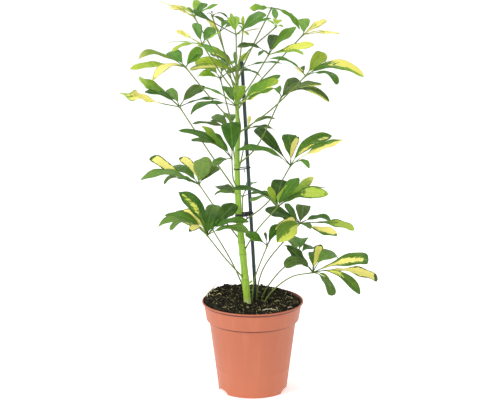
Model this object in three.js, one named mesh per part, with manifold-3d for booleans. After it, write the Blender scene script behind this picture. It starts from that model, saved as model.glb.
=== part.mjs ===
// A variegated dwarf umbrella plant in a terracotta-coloured nursery pot.
// Millimetres, +Z up. The origin is the middle of the circle that the pot stands on, and -Y is its front.
import * as THREE from "three";
import { mergeVertices } from "three/addons/utils/BufferGeometryUtils.js";
import Module from "manifold-3d";

const wasm = await Module();
wasm.setup();

// Driving dimensions
const GAP = 0.3; // clearance between pieces that touch

const POT_HEIGHT = 155;
const RIM_RADIUS = 85;
const LIP_HEIGHT = 3;
const BAND_TOP_RADIUS = 82.3;
const BAND_LOW_RADIUS = 77.6;
const BAND_FOOT = 124; // height of the lower edge of the band
const STEP_DROP = 3; // height of the slope between the band and the cone below it
const CONE_TOP_RADIUS = 72.8;
const FOOT_RADIUS = 57;
const POT_WALL = 1.6;
const FLOOR_UNDERSIDE = 7.5;
const FLOOR_THICKNESS = 2;
const POT_SIDES = 40;
const NOTCH_HEIGHT = 6.5;
const NOTCH_WIDTH = 37;
const NOTCH_ARCH = [1, 0.8, 0.5]; // shares of its half width at its foot, shoulder and top
const NOTCH_SHOULDER = 0.8; // share of its height where the shoulder is
const NOTCH_BEARINGS = [-66, 74, 184]; // degrees from the front, toward the right
const DRAIN_COUNT = 5;
const DRAIN_RADIUS = 4.5;
const DRAIN_CIRCLE = 33;
const DRAIN_SIDES = 10;
const PASS = 1; // how far a cut runs on past the face that it starts from

const SOIL_EDGE = 151; // height of the soil along the wall
const SOIL_CROWN = 4.5; // how much higher it lies in the middle
const SOIL_FALL = 0.02; // fall of the soil from left to right
const SOIL_LUMP = 1.2; // height of its lumps
const SOIL_HEAP = 9; // how much higher it is heaped at the back and at the left
const HEAP_EDGE = 24; // how abruptly the heap ends at the wall
const SOIL_RINGS = [0.94, 0.72, 0.4]; // rings of points on the soil, as shares of its radius
const SOIL_SETBACK = 2; // drop from SOIL_EDGE to the line where the soil meets the wall
const HOLE_DEPTH = 46; // depth of the holes that the stems and the stake stand in
const HOLE_RISE = 10; // how far above the rim the holes are cut
const SHOOT_ROOM = 2; // space round a shoot in its hole
const SHOOT_LIFT = 10; // height of a shoot's lower end above the bottom of its hole
const HOLE_SIDES = 8;

const STEM_ROUTE = [
  [-6, -20, 105],
  [-8.5, -17, 152],
  [-12, -13, 190],
  [-15, -9, 224],
  [-19, -5, 262],
  [-23, -1, 309],
  [-25, 0, 350],
  [-26, 0, 395],
  [-24.5, 0, 445],
  [-26, 1, 490],
  [-26.5, 1, 515],
  [-25, 1, 540],
];
const STEM_FOOT_RADIUS = 6.2;
const STEM_TOP_RADIUS = 2.6;
const STEM_FULLNESS = 1.7; // above 1, the stem thins mostly near its top
const JOINT_HEIGHTS = [196, 238, 258, 290, 341, 389, 443, 500]; // swollen rings that leaves grew from
const JOINT_SWELL = 0.7;
const JOINT_REACH = 5;
const STEM_SIDES = 8;
const STEM_STEPS = 26;

const STAKE_FOOT = [8, 9, 105];
const STAKE_TOP = [-18, 8, 562];
const STAKE_RADIUS = 3.2;
const STAKE_SIDES = 8;

const TIE_HEIGHTS = { tie_upper: 382, tie_lower: 303 };
const TIE_THICKNESS = 1.3;
const TIE_WIDTH = 3;
const TIE_ROOM_STEM = 1; // space between a tie and the stem
const TIE_ROOM_STAKE = 0.8;
const TIE_ARC_STEPS = 5;

const PETIOLE_RADIUS = 1.3;
const SHEATH_RADIUS = 2.2; // the petiole's foot, where it clasps the stem
const SHEATH_SHARE = 0.12;
const PETIOLE_SIDES = 5;
const PETIOLE_STEPS = 5;
const PETIOLE_SAG = 3; // how far the middle of a petiole without a bend of its own hangs
const HUB_RADIUS = 4.4; // the small knuckle that the leaflets grow from
const ROOT_DEPTH = 2.6; // how far a leaflet's root is sunk into it

const STALK = 0.17; // the part of most leaflets that is their own little stalk
const STALK_HALF_WIDTH = 1;
const STALK_THICKNESS = 1.6;
const BLADE_SLENDERNESS = 0.17; // half width of a blade over the leaflet's length
const BLADE_THICKNESS = 0.9;
const BLADE_FOLD = 0.2; // rise of the blade's edge over its half width
const BLADE_ARCH = 0.14; // rise of the midrib's middle over the leaflet's length
const WIDEST_AT = 0.62; // place of the greatest width along the blade
const BLUNT_SHIFT = 0.2; // how much further out it is on a blunt blade
const TAPER = 1.12; // above 1, the blade narrows in hollow curves toward its foot
const TIP_WIDTH = 0.34; // half width of the tip over the greatest
const BLADE_STATIONS = [0, 0.38, 0.78, 1];

// Each leaf: the height where its petiole leaves the stem, or its foot in the soil; a point that the
// petiole bends through; the hub that the leaflets grow from; and for each leaflet the place of its
// tip from the hub and how many degrees its upper face leans to the front. Up to four more numbers
// are its breadth and its arch over the usual ones, its stalk's share of the length, and its bluntness.
const LEAVES = {
  leaf_01: {
    foot: [20, -12],
    bend: [62, -26, 202],
    hub: [100, -34, 213],
    leaflets: [
      [92, -10, 25, 35, 0.9, 0.5, STALK, 0.9],
      [110, 44, -24, 22, 0.6, 0.45, 0.3, 0.7],
      [77, -40, -26, 22, 0.58, 1.5, 0.25],
      [30, -65, -21, 8, 0.66, 0.9, STALK, 1],
      [26, -30, -3, 10, 0.5, 0.6],
      [14, 46, 36, 45, 0.85, 0.4],
      [43, 50, 11, 28, 1.1, 1.8, 0.2],
      [-48, -30, 19, 36, 0.95, 1.7, STALK, 0.6],
      [-43, 8, 43, 35, 1.1, 0.3],
      [2, 58, 20, 10, 0.8],
    ],
  },
  leaf_02: {
    foot: [15, 6],
    bend: [40, 17, 194],
    hub: [77, 30, 225],
    leaflets: [
      [-20, 55, 12, 5, 1.1],
      [30, 60, -6, 10, 0.9, 0.8],
      [7, 78, 6, 0],
      [-22, 40, 6, 5, 0.9, 0.7],
    ],
  },
  leaf_03: {
    foot: [-1, -12],
    bend: [4, -20, 200],
    hub: [24, -30, 258],
    leaflets: [
      [-36, 6, 20, 35, 1.5, 0.5, STALK, 0.4],
      [-4, 40, 12, 5, 0.35, 0.8],
      [50, 44, 36, 38, 0.66, 0.5],
      [18, 30, 29, 20, 1, 0.5],
    ],
  },
  leaf_04: {
    foot: [6, -3],
    bend: [18, -4, 212],
    hub: [79, 10, 286],
    leaflets: [
      [-39, -64, -16, 38, 1.25, 0.4, 0.05, -0.5],
      [6, 45, 20, 0, 1.5, 0.3, 0.05, 0.5],
      [-24, 55, 20, 25, 0.55, 0.2],
      [-58, 30, 17, 33, 1, 0.1, STALK, 0.1],
      [-28, 28, 5, 40, 1.2, 0.4],
      [56, 50, -14, 8, 0.8, 0.9],
      [91, 0, -11, 24, 0.66, 0.4, 0.3, 0.3],
      [61, -48, -8, 30, 0.75, 0, 0.3],
      [18, -35, 0, 10, 0.9, 0.7],
    ],
  },
  leaf_05: {
    from: 169,
    bend: [-36, 26, 216],
    hub: [-68, 50, 265],
    leaflets: [
      [-3, 50, 29, 5],
      [-70, 30, 15, 10],
      [45, 55, 20, 10],
      [-40, 72, 8, 5],
    ],
  },
  leaf_06: {
    from: 194,
    hub: [-75, -60, 284],
    leaflets: [
      [-48, 45, 62, 28, 0.85, 1.4, STALK, -0.4],
      [-44, 50, 27, 36, 0.72],
      [-70, 20, 29, 27, 0.8, 1.05],
      [-80, -10, 17, 16, 0.6, 1.2],
      [-59, -50, 22, 12, 0.65, 1.3, STALK, 0.6],
      [-28, -55, 21, 15, 0.6, 1.3],
      [6, 40, 28, 12, 2.1, 0.6, 0.08],
      [12, 70, 34, 5, 0.9, 0.4, STALK, 0.5],
      [46, 45, 42, 25, 1, 0.4, STALK, 0.5],
      [69, -5, 24, 15, 0.8, 1.1],
      [70, -25, 11, 12, 0.8],
    ],
  },
  leaf_07: {
    from: 239,
    bend: [4, -14, 276],
    hub: [40, -50, 329],
    leaflets: [
      [-76, -5, 32, 12, 0.8, 1.15],
      [-44, -45, 22, 0, 0.95, 1.4],
      [10, 50, 34, 5, 1.5, 0.4, 0.08, 0.4],
      [60, 20, 47, 20, 0.6, 0.25],
      [84, -10, 25, 33, 0.72, 0.9],
      [81, 10, 31, 3, 0.5, 0.7],
      [16, -20, 42, 18, 1, 0.5, 0.1],
      [36, 34, 42, 18, 1.05, 0.4, 0.08],
      [-14, 30, 28, 10, 0.8, 0.5],
    ],
  },
  leaf_08: {
    from: 250,
    hub: [-17, 85, 313],
    leaflets: [
      [-47, 40, 7, 18, 1, 0.7],
      [-48, -8, 4, 12, 0.7, 0.8],
      [22, 60, 8, 5, 0.7],
      [50, -10, 0, 5],
    ],
  },
  leaf_09: {
    from: 258,
    hub: [-90, 45, 344],
    leaflets: [
      [-98, 0, 8, 17, 0.66, 1.05],
      [-57, -50, 13, 0, 0.45, 0.8, STALK, 0.5],
      [-82, 30, 40, 36, 0.62, 0.1, STALK, 0.7],
      [-34, 55, 33, 25, 0.62, 0.3, STALK, 0.3],
      [-44, 68, 16, 10, 0.9, 0.6],
      [8, 40, 38, 8, 1.7, 0.3, 0.1],
      [-36, -20, 16, 25, 1, 0.5],
      [32, 45, 19, 22, 0.9, 0.3, 0.1, 0.4],
    ],
  },
  leaf_10: {
    from: 288,
    bend: [26, 0, 326],
    hub: [63, 10, 385],
    leaflets: [
      [-89, -35, 34, 20, 0.7, 0.85, 0.08],
      [-57, 40, 55, 25, 0.78, 0.15, STALK, 0.9],
      [-4, 50, 42, 5, 1.15, 0.4, STALK, 0.6],
      [14, 28, 43, 40, 0.6, 0.3],
      [69, 30, 44, 30, 0.8, 1, 0.1],
      [87, -20, 49, 26, 0.44, 0.5, STALK, -0.3],
      [30, -45, 6, 10, 0.62, 1.2],
    ],
  },
  leaf_11: {
    from: 340,
    bend: [-70, 6, 406],
    hub: [-121, 10, 485],
    leaflets: [
      [-97, -30, 30, 24, 0.55, -0.1, 0.3, 0.2],
      [-68, 35, 42, 32, 0.6, 0, STALK, 0.8],
      [-58, 30, 19, 22, 0.72, 1, STALK, 0.2],
      [-22, 40, 20, 25, 1, 0.6],
      [41, 52, 24, 33, 0.85, 0.5],
      [66, 20, 8, 0, 0.5, 0.6],
    ],
  },
  leaf_12: {
    from: 350,
    bend: [-32, -46, 376],
    hub: [-34, -85, 420],
    leaflets: [
      [-87, 25, 41, 20, 0.52, 0.9, STALK, -0.2],
      [-65, -25, 36, 12, 0.62, 0.9, STALK, 0.8],
      [-49, 5, 53, 28, 0.6, 0.2],
      [-40, 22, 40, 22, 0.8, 0.5],
      [-3, 45, 50, 0, 1.4, 0.3, STALK, 0.7],
      [-29, -72, 5, 8, 0.6, 0.3],
    ],
  },
  leaf_13: {
    from: 360,
    hub: [-36, 80, 431],
    leaflets: [
      [-33, 50, 11, 22, 0.85, 0.8],
      [-35, -8, 17, 10, 0.6, 0.6],
      [-66, 20, 5, 14, 0.6, 0.35],
      [0, 72, 8, 0],
    ],
  },
  leaf_14: {
    from: 368,
    hub: [-9, 95, 428],
    leaflets: [
      [47, 30, 11, 12, 0.6, 0.85],
      [47, 20, -9, 14, 0.75, 0.8],
      [4, 40, 14, 5, 0.45, 0.3],
    ],
  },
  leaf_15: {
    from: 388,
    bend: [4, 2, 416],
    hub: [48, 60, 491],
    leaflets: [
      [34, 50, 14, 18, 1.3, 0.9, 0.05, 0.2],
      [68, 20, 17, 25, 0.7, 0.6],
      [79, -30, -2, 10, 0.62, 1.35],
      [-10, 50, 4, 5, 0.9, 0.6],
    ],
  },
  leaf_16: {
    from: 425,
    hub: [-54, 70, 520],
    leaflets: [
      [-38, 40, -5, 30, 0.8, 0.6],
      [-33, 40, 11, 10],
      [20, 75, 10, 0],
      [50, 50, 5, 5],
    ],
  },
  leaf_17: {
    from: 434,
    bend: [-20, -44, 464],
    hub: [-27, -75, 505],
    leaflets: [
      [10, 40, 26, 5, 1.25, 0.5, 0.08],
      [-17, 45, 23, 5, 1.1, 0.4, STALK, 0.5],
      [69, 12, 40, 28, 0.85, 0.6],
      [62, -30, 36, 28, 0.66, 0.3],
      [-73, -35, -7, 12, 0.6, 1.05],
      [-53, 15, 28, 0, 0.4, 0.5],
      [72, 30, 45, 22, 0.7, 0.4],
    ],
  },
  leaf_18: {
    from: 442,
    bend: [30, -8, 484],
    hub: [87, 10, 537],
    leaflets: [
      [96, 0, -1, 38, 0.72, 1.4, 0.08, 0.1],
      [51, -48, -4, 12, 0.6, 1.2, STALK, 0.7],
      [33, 48, 29, 28, 1.05, 0.5],
      [-12, 50, 3, 12, 1.1, 0.4, STALK, 0.5],
      [-58, 6, 28, 5, 0.5],
    ],
  },
  leaf_19: {
    from: 452,
    hub: [-110, -20, 558],
    leaflets: [
      [-77, 10, 11, 10, 0.5, 1.1],
      [-90, -15, 0, 22, 0.62, 0.55, 0.3],
      [-52, -50, -12, 32, 0.58, 1.4],
      [-26, 55, 15, 25, 1.15, 0.5, STALK, 0.3],
      [26, 45, 23, 32, 1.05, 0.3, 0.08],
      [25, 10, 20, 10, 0.7, 0.3],
    ],
  },
  leaf_20: {
    from: 468,
    hub: [-28, 50, 537],
    leaflets: [
      [-68, 0, 14, 48, 0.95, 0.4, 0.1, 0.4],
      [-76, -35, 9, 16, 0.6, 0.4],
      [-43, 48, 20, 25, 0.75, 0.8],
      [-64, 20, 40, 22, 0.5, 0.9, 0.08],
      [-2, 45, 24, 0, 0.4, 0.3],
      [22, 38, 24, 15, 0.65, 0.3],
      [77, 10, 11, -2, 0.38, 0.6],
      [43, 20, -16, 10, 0.7, 0.8],
    ],
  },
  leaf_21: {
    from: 482,
    bend: [10, 2, 528],
    hub: [84, 50, 599],
    leaflets: [
      [1, 35, 20, 5, 1.5, 0.3, 0.08, 0.7],
      [39, 25, 19, 25, 0.75, 0.1, 0.1],
      [40, 42, -3, 0, 0.3, 0.3],
      [60, -10, 3, 15, 0.45, 0.2],
    ],
  },
  leaf_22: {
    from: 492,
    hub: [26, -30, 581],
    leaflets: [
      [-51, -25, 17, 20, 0.7, 0.9],
      [15, 50, 22, 8, 1.25, 0.4, STALK, 0.3],
      [45, 30, 40, 25, 0.75, 0.3],
      [74, 5, 16, 28, 0.62, 0.1, 0.1, 0.1],
      [56, -40, 8, 14, 0.5, 0.4],
      [-17, -45, 7, 5, 0.5],
    ],
  },
  leaf_23: {
    from: 500,
    hub: [-55, 62, 601],
    leaflets: [
      [-22, -10, 22, 50, 1.5, 0.2, 0.05, -0.6],
      [-14, -24, 3, 10, 0.7],
      [20, 50, 8, 5],
      [45, 25, 5, 5],
    ],
  },
  leaf_24: {
    from: 508,
    hub: [-82, -40, 600],
    leaflets: [
      [-11, 38, 28, 5, 1, 0.3, STALK, 0.4],
      [18, 50, 18, 28, 1, 0.3],
      [-43, 35, 16, 20, 0.5, -0.1, 0.4],
      [-56, 25, -2, 0, 0.32, 0.3],
      [-48, -40, -4, 12, 0.5, 0.6],
      [16, -50, -5, 15, 0.6, 0.6],
      [30, 10, 19, 0, 0.55, 0.2],
    ],
  },
  leaf_25: {
    from: 512,
    bend: [-20, 17, 560],
    hub: [38, 42, 613],
    leaflets: [
      [10, 14, 9, 10],
      [-13, 8, 9, 10],
      [-2, 20, 10, 0],
      [12, -10, 2, 10],
    ],
  },
  leaf_26: {
    from: 519,
    hub: [-96, 20, 634],
    leaflets: [
      [-38, -30, 20, 34, 1, 0.3],
      [-58, 30, 21, -10, 0.3, 0],
      [-25, 55, 9, 0, 0.32, 0.3],
      [-17, 60, 4, 5, 0.45, 0.4],
      [5, 45, 20, 25, 1, 0.3],
      [39, -20, 24, 25, 0.6, 0.3],
      [20, 40, 15, 25, 0.8, 0.3],
    ],
  },
  leaf_27: {
    from: 523,
    hub: [-27, -45, 617],
    leaflets: [
      [-5, 45, 21, 5, 1.2, 0.3, STALK, 0.6],
      [46, 40, 28, 25, 1, 0.1, STALK, 0.5],
      [-71, 15, 37, 22, 0.5, 0, 0.5, 0.6],
      [57, 5, 26, 20, 0.5, 0.3, 0.05],
      [-9, 50, 26, 0, 0.35, 0.3],
      [39, 20, 6, 5, 0.4, 0.2],
    ],
  },
  leaf_28: {
    from: 526,
    hub: [-67, 35, 633],
    leaflets: [
      [26, -10, -2, 10, 0.5, 1.6],
      [20, -15, -7, 25, 0.8, 0.5],
      [-2, 20, 3, 5, 0.5],
      [-8, 18, 0, 5, 0.5],
    ],
  },
  leaf_29: {
    from: 529,
    bend: [-13, -3, 562],
    hub: [31, 20, 649],
    leaflets: [
      [-36, 20, -3, 30, 1, -0.1],
      [7, -38, -11, 10, 0.75, 0.6],
      [46, -5, -35, 22, 0.68],
      [38, 22, -19, 15, 0.55, 0.5],
    ],
  },
  leaf_30: {
    from: 538,
    hub: [-16, 10, 612],
    leaflets: [
      [9, -14, -4, 10, 1, 0.5],
      [-7, -10, 12, 0, 0.8, 0.5],
      [10, 10, 10, 10, 0.8, 0.5],
      [0, 14, 23, 0, 0.6, 0.3],
    ],
  },
};

// Vectors and solids
const UP = new THREE.Vector3(0, 0, 1);
const vector = ([x, y, z]) => new THREE.Vector3(x, y, z);
const smoothRoute = (points) => new THREE.CatmullRomCurve3(points, false, "centripetal");

function solid(geometry) {
  geometry.deleteAttribute("normal");
  geometry.deleteAttribute("uv");
  const merged = mergeVertices(geometry, 1e-4);
  return new wasm.Manifold(
    new wasm.Mesh({
      numProp: 3,
      vertProperties: merged.attributes.position.array,
      triVerts: new Uint32Array(merged.index.array),
    }),
  );
}

function geometryOf(body) {
  const mesh = body.getMesh();
  const geometry = new THREE.BufferGeometry();
  geometry.setAttribute("position", new THREE.BufferAttribute(mesh.vertProperties, 3));
  geometry.setIndex(new THREE.BufferAttribute(mesh.triVerts, 1));
  geometry.computeVertexNormals();
  return geometry;
}

// A closed rod along a curve, with a radius that depends on the place from 0 to 1 along it.
function rod(curve, radiusAt, sides, steps) {
  const positions = [];
  const faces = [];
  const frames = curve.computeFrenetFrames(steps, false);
  for (let i = 0; i <= steps; i++) {
    const centre = curve.getPointAt(i / steps);
    const radius = radiusAt(i / steps);
    for (let k = 0; k < sides; k++) {
      const angle = (2 * Math.PI * k) / sides;
      const point = centre
        .clone()
        .addScaledVector(frames.normals[i], radius * Math.cos(angle))
        .addScaledVector(frames.binormals[i], radius * Math.sin(angle));
      positions.push(...point.toArray());
    }
  }
  for (let i = 0; i < steps; i++)
    for (let k = 0; k < sides; k++) {
      const a = i * sides + k;
      const b = i * sides + ((k + 1) % sides);
      faces.push(a, b, b + sides, a, b + sides, a + sides);
    }
  const last = steps * sides;
  for (let k = 1; k < sides - 1; k++) {
    faces.push(0, k + 1, k);
    faces.push(last, last + k, last + k + 1);
  }
  const geometry = new THREE.BufferGeometry();
  geometry.setAttribute("position", new THREE.Float32BufferAttribute(positions, 3));
  geometry.setIndex(faces);
  return geometry;
}

// A round bar straight up from a foot point, for holes and drains.
function bar(x, y, low, high, radius, sides) {
  const geometry = new THREE.CylinderGeometry(radius, radius, high - low, sides);
  geometry.rotateX(Math.PI / 2);
  geometry.translate(x, y, (low + high) / 2);
  return solid(geometry);
}

// Pot
function potOuterRadius(height) {
  const share = height / (BAND_FOOT - STEP_DROP);
  return FOOT_RADIUS + (CONE_TOP_RADIUS - FOOT_RADIUS) * share;
}

// Inside of the pot from the floor to the rim, drawn in by the given clearance.
function potInside(clearance) {
  const inset = POT_WALL + clearance;
  const floor = FLOOR_UNDERSIDE + FLOOR_THICKNESS + clearance;
  return [
    [potOuterRadius(floor) - inset, floor],
    [CONE_TOP_RADIUS - inset, BAND_FOOT - STEP_DROP + POT_WALL],
    [BAND_LOW_RADIUS - inset, BAND_FOOT + POT_WALL],
    [BAND_TOP_RADIUS - inset, POT_HEIGHT - LIP_HEIGHT],
  ];
}

function lathe(outline) {
  const points = outline.map(([r, z]) => new THREE.Vector2(r, z));
  const geometry = new THREE.LatheGeometry(points, POT_SIDES);
  geometry.rotateX(Math.PI / 2);
  return geometry;
}

function makePot() {
  const lip = LIP_HEIGHT / 4;
  const outline = [
    [0, FLOOR_UNDERSIDE],
    [potOuterRadius(FLOOR_UNDERSIDE) - POT_WALL, FLOOR_UNDERSIDE],
    [FOOT_RADIUS - POT_WALL, 0],
    [FOOT_RADIUS, 0],
    [CONE_TOP_RADIUS, BAND_FOOT - STEP_DROP],
    [BAND_LOW_RADIUS, BAND_FOOT],
    [BAND_TOP_RADIUS, POT_HEIGHT - LIP_HEIGHT],
    [RIM_RADIUS - lip, POT_HEIGHT - LIP_HEIGHT],
    [RIM_RADIUS, POT_HEIGHT - LIP_HEIGHT + lip],
    [RIM_RADIUS, POT_HEIGHT - lip],
    [RIM_RADIUS - lip, POT_HEIGHT],
    [BAND_TOP_RADIUS - POT_WALL, POT_HEIGHT],
    ...potInside(0).reverse(),
    [0, FLOOR_UNDERSIDE + FLOOR_THICKNESS],
  ];
  let pot = solid(lathe(outline));
  for (const bearing of NOTCH_BEARINGS) pot = pot.subtract(notch(bearing));
  for (let i = 0; i < DRAIN_COUNT; i++) {
    const angle = (2 * Math.PI * (i + 0.5)) / DRAIN_COUNT;
    const x = DRAIN_CIRCLE * Math.cos(angle);
    const y = DRAIN_CIRCLE * Math.sin(angle);
    const above = FLOOR_UNDERSIDE + FLOOR_THICKNESS + PASS;
    pot = pot.subtract(bar(x, y, FLOOR_UNDERSIDE - PASS, above, DRAIN_RADIUS, DRAIN_SIDES));
  }
  return pot;
}

// A low arch through the foot ring, which lets water out.
function notch(bearing) {
  const [foot, shoulder, top] = NOTCH_ARCH.map((share) => (share * NOTCH_WIDTH) / 2);
  const shape = new THREE.Shape();
  shape.moveTo(-foot, -PASS);
  shape.lineTo(foot, -PASS);
  shape.lineTo(shoulder, NOTCH_HEIGHT * NOTCH_SHOULDER);
  shape.lineTo(top, NOTCH_HEIGHT);
  shape.lineTo(-top, NOTCH_HEIGHT);
  shape.lineTo(-shoulder, NOTCH_HEIGHT * NOTCH_SHOULDER);
  const reach = FOOT_RADIUS / 2;
  const geometry = new THREE.ExtrudeGeometry(shape, { depth: reach, bevelEnabled: false });
  geometry.rotateX(Math.PI / 2);
  geometry.translate(0, -FOOT_RADIUS + reach / 2, 0);
  geometry.rotateZ(THREE.MathUtils.degToRad(bearing));
  return solid(geometry);
}

// Soil, with a lumpy top that rises to the middle, the back and the left
function soilHeight(x, y) {
  const share = Math.min(1, Math.hypot(x, y) / BAND_TOP_RADIUS);
  const crown = SOIL_CROWN * (1 - share ** 6) - SOIL_FALL * x;
  const heap = (SOIL_HEAP * (Math.max(0, y) + Math.max(0, -x))) / RIM_RADIUS;
  const lumps = Math.sin(0.21 * x + 1.3) * Math.cos(0.17 * y - 0.4);
  const ripple = 0.6 * Math.sin(0.39 * y - 0.33 * x);
  return SOIL_EDGE + crown + heap * (1 - share ** HEAP_EDGE) + SOIL_LUMP * (lumps + ripple);
}

function makeSoil() {
  const inside = potInside(GAP);
  const wallTop = inside[inside.length - 1];
  const wallFoot = inside[inside.length - 2];
  const edgeHeight = SOIL_EDGE - SOIL_SETBACK;
  const edgeShare = (edgeHeight - wallFoot[1]) / (wallTop[1] - wallFoot[1]);
  const edge = [wallFoot[0] + (wallTop[0] - wallFoot[0]) * edgeShare, edgeHeight];
  const surface = SOIL_RINGS.map((share) => [edge[0] * share, POT_HEIGHT]);
  const floor = inside[0][1];
  const outline = [[0, floor], ...inside.slice(0, -1), edge, ...surface, [0, POT_HEIGHT]];
  const geometry = lathe(outline);
  const places = geometry.getAttribute("position");
  for (let i = 0; i < places.count; i++)
    if (places.getZ(i) > POT_HEIGHT - 0.5)
      places.setZ(i, soilHeight(places.getX(i), places.getY(i)));
  let soil = solid(geometry);
  for (const hole of holes()) soil = soil.subtract(hole);
  return soil;
}

function holes() {
  const low = SOIL_EDGE - HOLE_DEPTH;
  const feet = Object.values(LEAVES).filter((leaf) => leaf.foot);
  const shoots = feet.map(({ foot }) =>
    bar(...foot, low, POT_HEIGHT + HOLE_RISE, SHEATH_RADIUS + SHOOT_ROOM, HOLE_SIDES),
  );
  return [solid(stemRod(GAP)), solid(stakeRod(GAP)), ...shoots];
}

// Stem and stake
const stemCurve = smoothRoute(STEM_ROUTE.map(vector));
const stemFoot = STEM_ROUTE[0][2];
const stemTop = STEM_ROUTE[STEM_ROUTE.length - 1][2];

function stemRadius(height) {
  const share = (height - stemFoot) / (stemTop - stemFoot);
  const taper = STEM_FOOT_RADIUS - (STEM_FOOT_RADIUS - STEM_TOP_RADIUS) * share ** STEM_FULLNESS;
  const swell = JOINT_HEIGHTS.map((joint) => Math.exp(-(((height - joint) / JOINT_REACH) ** 2)));
  return taper + JOINT_SWELL * Math.max(...swell);
}

function stemPoint(height) {
  let share = 0.5;
  for (let step = 0.25; step > 1e-5; step /= 2)
    share += stemCurve.getPointAt(share).z < height ? step : -step;
  return stemCurve.getPointAt(share);
}

function stemRod(extra) {
  const radiusAt = (t) => stemRadius(stemCurve.getPointAt(t).z) + extra;
  return rod(stemCurve, radiusAt, STEM_SIDES, STEM_STEPS);
}

function stakeRod(extra) {
  const line = new THREE.LineCurve3(vector(STAKE_FOOT), vector(STAKE_TOP));
  return rod(line, () => STAKE_RADIUS + extra, STAKE_SIDES, 1);
}

function stakePoint(height) {
  const share = (height - STAKE_FOOT[2]) / (STAKE_TOP[2] - STAKE_FOOT[2]);
  return vector(STAKE_FOOT).lerp(vector(STAKE_TOP), share);
}

// A belt round the stem and the stake, in the outline of a stadium.
function beltOutline(stem, stemReach, stake, stakeReach, Path) {
  const heading = Math.atan2(stake.y - stem.y, stake.x - stem.x);
  const lean = Math.acos((stemReach - stakeReach) / Math.hypot(stake.x - stem.x, stake.y - stem.y));
  const path = new Path();
  path.absarc(stem.x, stem.y, stemReach, heading + lean, heading + 2 * Math.PI - lean, false);
  path.absarc(stake.x, stake.y, stakeReach, heading - lean, heading + lean, false);
  path.closePath();
  return path;
}

function makeTie(height) {
  const stem = stemPoint(height);
  const stake = stakePoint(height);
  const stemReach = stemRadius(height) + TIE_ROOM_STEM;
  const stakeReach = STAKE_RADIUS + TIE_ROOM_STAKE;
  const outer = [stemReach + TIE_THICKNESS, stakeReach + TIE_THICKNESS];
  const shape = beltOutline(stem, outer[0], stake, outer[1], THREE.Shape);
  shape.holes.push(beltOutline(stem, stemReach, stake, stakeReach, THREE.Path));
  const belt = { depth: TIE_WIDTH, bevelEnabled: false, curveSegments: TIE_ARC_STEPS };
  const geometry = new THREE.ExtrudeGeometry(shape, belt);
  geometry.translate(0, 0, height - TIE_WIDTH / 2);
  return geometry;
}

// Leaves
// Half width at a place from 0 to 1 along a blade, over the greatest half width.
function bladeHalfWidth(place, blunt) {
  const widest = WIDEST_AT + BLUNT_SHIFT * blunt;
  const rise = (place / widest) ** TAPER;
  return rise * ((1 - place) / (1 - widest)) ** ((TAPER * (1 - widest)) / widest);
}

// One leaflet: a closed blade folded a little along an arched midrib, from the hub to the tip.
function leaflet(hub, [dx, dy, dz, lean, breadth = 1, arch = 1, stalk = STALK, blunt = 0]) {
  const chord = new THREE.Vector3(dx, dy, dz);
  const length = chord.length();
  const along = chord.clone().normalize();
  const side = along.clone().cross(UP).normalize();
  const upper = side.clone().cross(along);
  const front = side.y > 0 ? side.clone().negate() : side;
  const tilt = THREE.MathUtils.degToRad(lean);
  const face = upper.clone().multiplyScalar(Math.cos(tilt)).addScaledVector(front, Math.sin(tilt));
  const middle = hub
    .clone()
    .addScaledVector(chord, 0.5)
    .addScaledVector(upper, 2 * BLADE_ARCH * arch * length);
  const midrib = new THREE.QuadraticBezierCurve3(hub, middle, hub.clone().add(chord));
  const root = (HUB_RADIUS - ROOT_DEPTH) / length;
  const widest = BLADE_SLENDERNESS * length * breadth;
  const stations = [{ at: root, half: STALK_HALF_WIDTH, thick: STALK_THICKNESS, fold: 0 }];
  for (const place of BLADE_STATIONS) {
    const inStalk = place === 0;
    const least = inStalk ? STALK_HALF_WIDTH : TIP_WIDTH * widest;
    stations.push({
      at: stalk + (1 - stalk) * place,
      half: Math.max(least, widest * bladeHalfWidth(place, blunt)),
      thick: inStalk ? STALK_THICKNESS : BLADE_THICKNESS,
      fold: inStalk || place === 1 ? 0 : BLADE_FOLD,
    });
  }
  return solid(slab(midrib, face, stations));
}

// The skin of a leaflet: the same triangles above and below, joined round its edge. A folded
// station has three points across, an unfolded one two.
function slab(midrib, face, stations) {
  const positions = [];
  const rows = stations.map(({ at, half, thick, fold }) => {
    const centre = midrib.getPoint(at);
    const along = midrib.getTangent(at);
    const normal = face.clone().addScaledVector(along, -face.dot(along)).normalize();
    const across = along.clone().cross(normal);
    const columns = fold ? [-1, 0, 1] : [-1, 1];
    return [0.5, -0.5].map((level) =>
      columns.map((column) => {
        const point = centre.clone().addScaledVector(across, column * half);
        point.addScaledVector(normal, Math.abs(column) * half * fold + level * thick);
        positions.push(...point.toArray());
        return positions.length / 3 - 1;
      }),
    );
  });
  const faces = [];
  const quad = (a, b, c, d) => faces.push(a, b, c, a, c, d);
  for (let i = 0; i + 1 < rows.length; i++) {
    const [above, below] = rows[i];
    const [aboveNext, belowNext] = rows[i + 1];
    faces.push(...strip(above, aboveNext));
    faces.push(...strip(below, belowNext).reverse());
    quad(below[0], above[0], aboveNext[0], belowNext[0]);
    quad(above.at(-1), below.at(-1), belowNext.at(-1), aboveNext.at(-1));
  }
  faces.push(...cap(rows[0]), ...cap(rows.at(-1)).reverse());
  const geometry = new THREE.BufferGeometry();
  geometry.setAttribute("position", new THREE.Float32BufferAttribute(positions, 3));
  geometry.setIndex(faces);
  return geometry;
}

// Triangles between two rows of points, where either row may have one point more.
function strip(near, far) {
  const faces = [];
  let n = 0;
  let f = 0;
  while (n < near.length - 1 || f < far.length - 1) {
    const nearLeft = n / (near.length - 1);
    const farLeft = f / (far.length - 1);
    if (nearLeft <= farLeft && n < near.length - 1) {
      faces.push(near[n], near[n + 1], far[f]);
      n++;
    } else {
      faces.push(near[n], far[f + 1], far[f]);
      f++;
    }
  }
  return faces;
}

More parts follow.
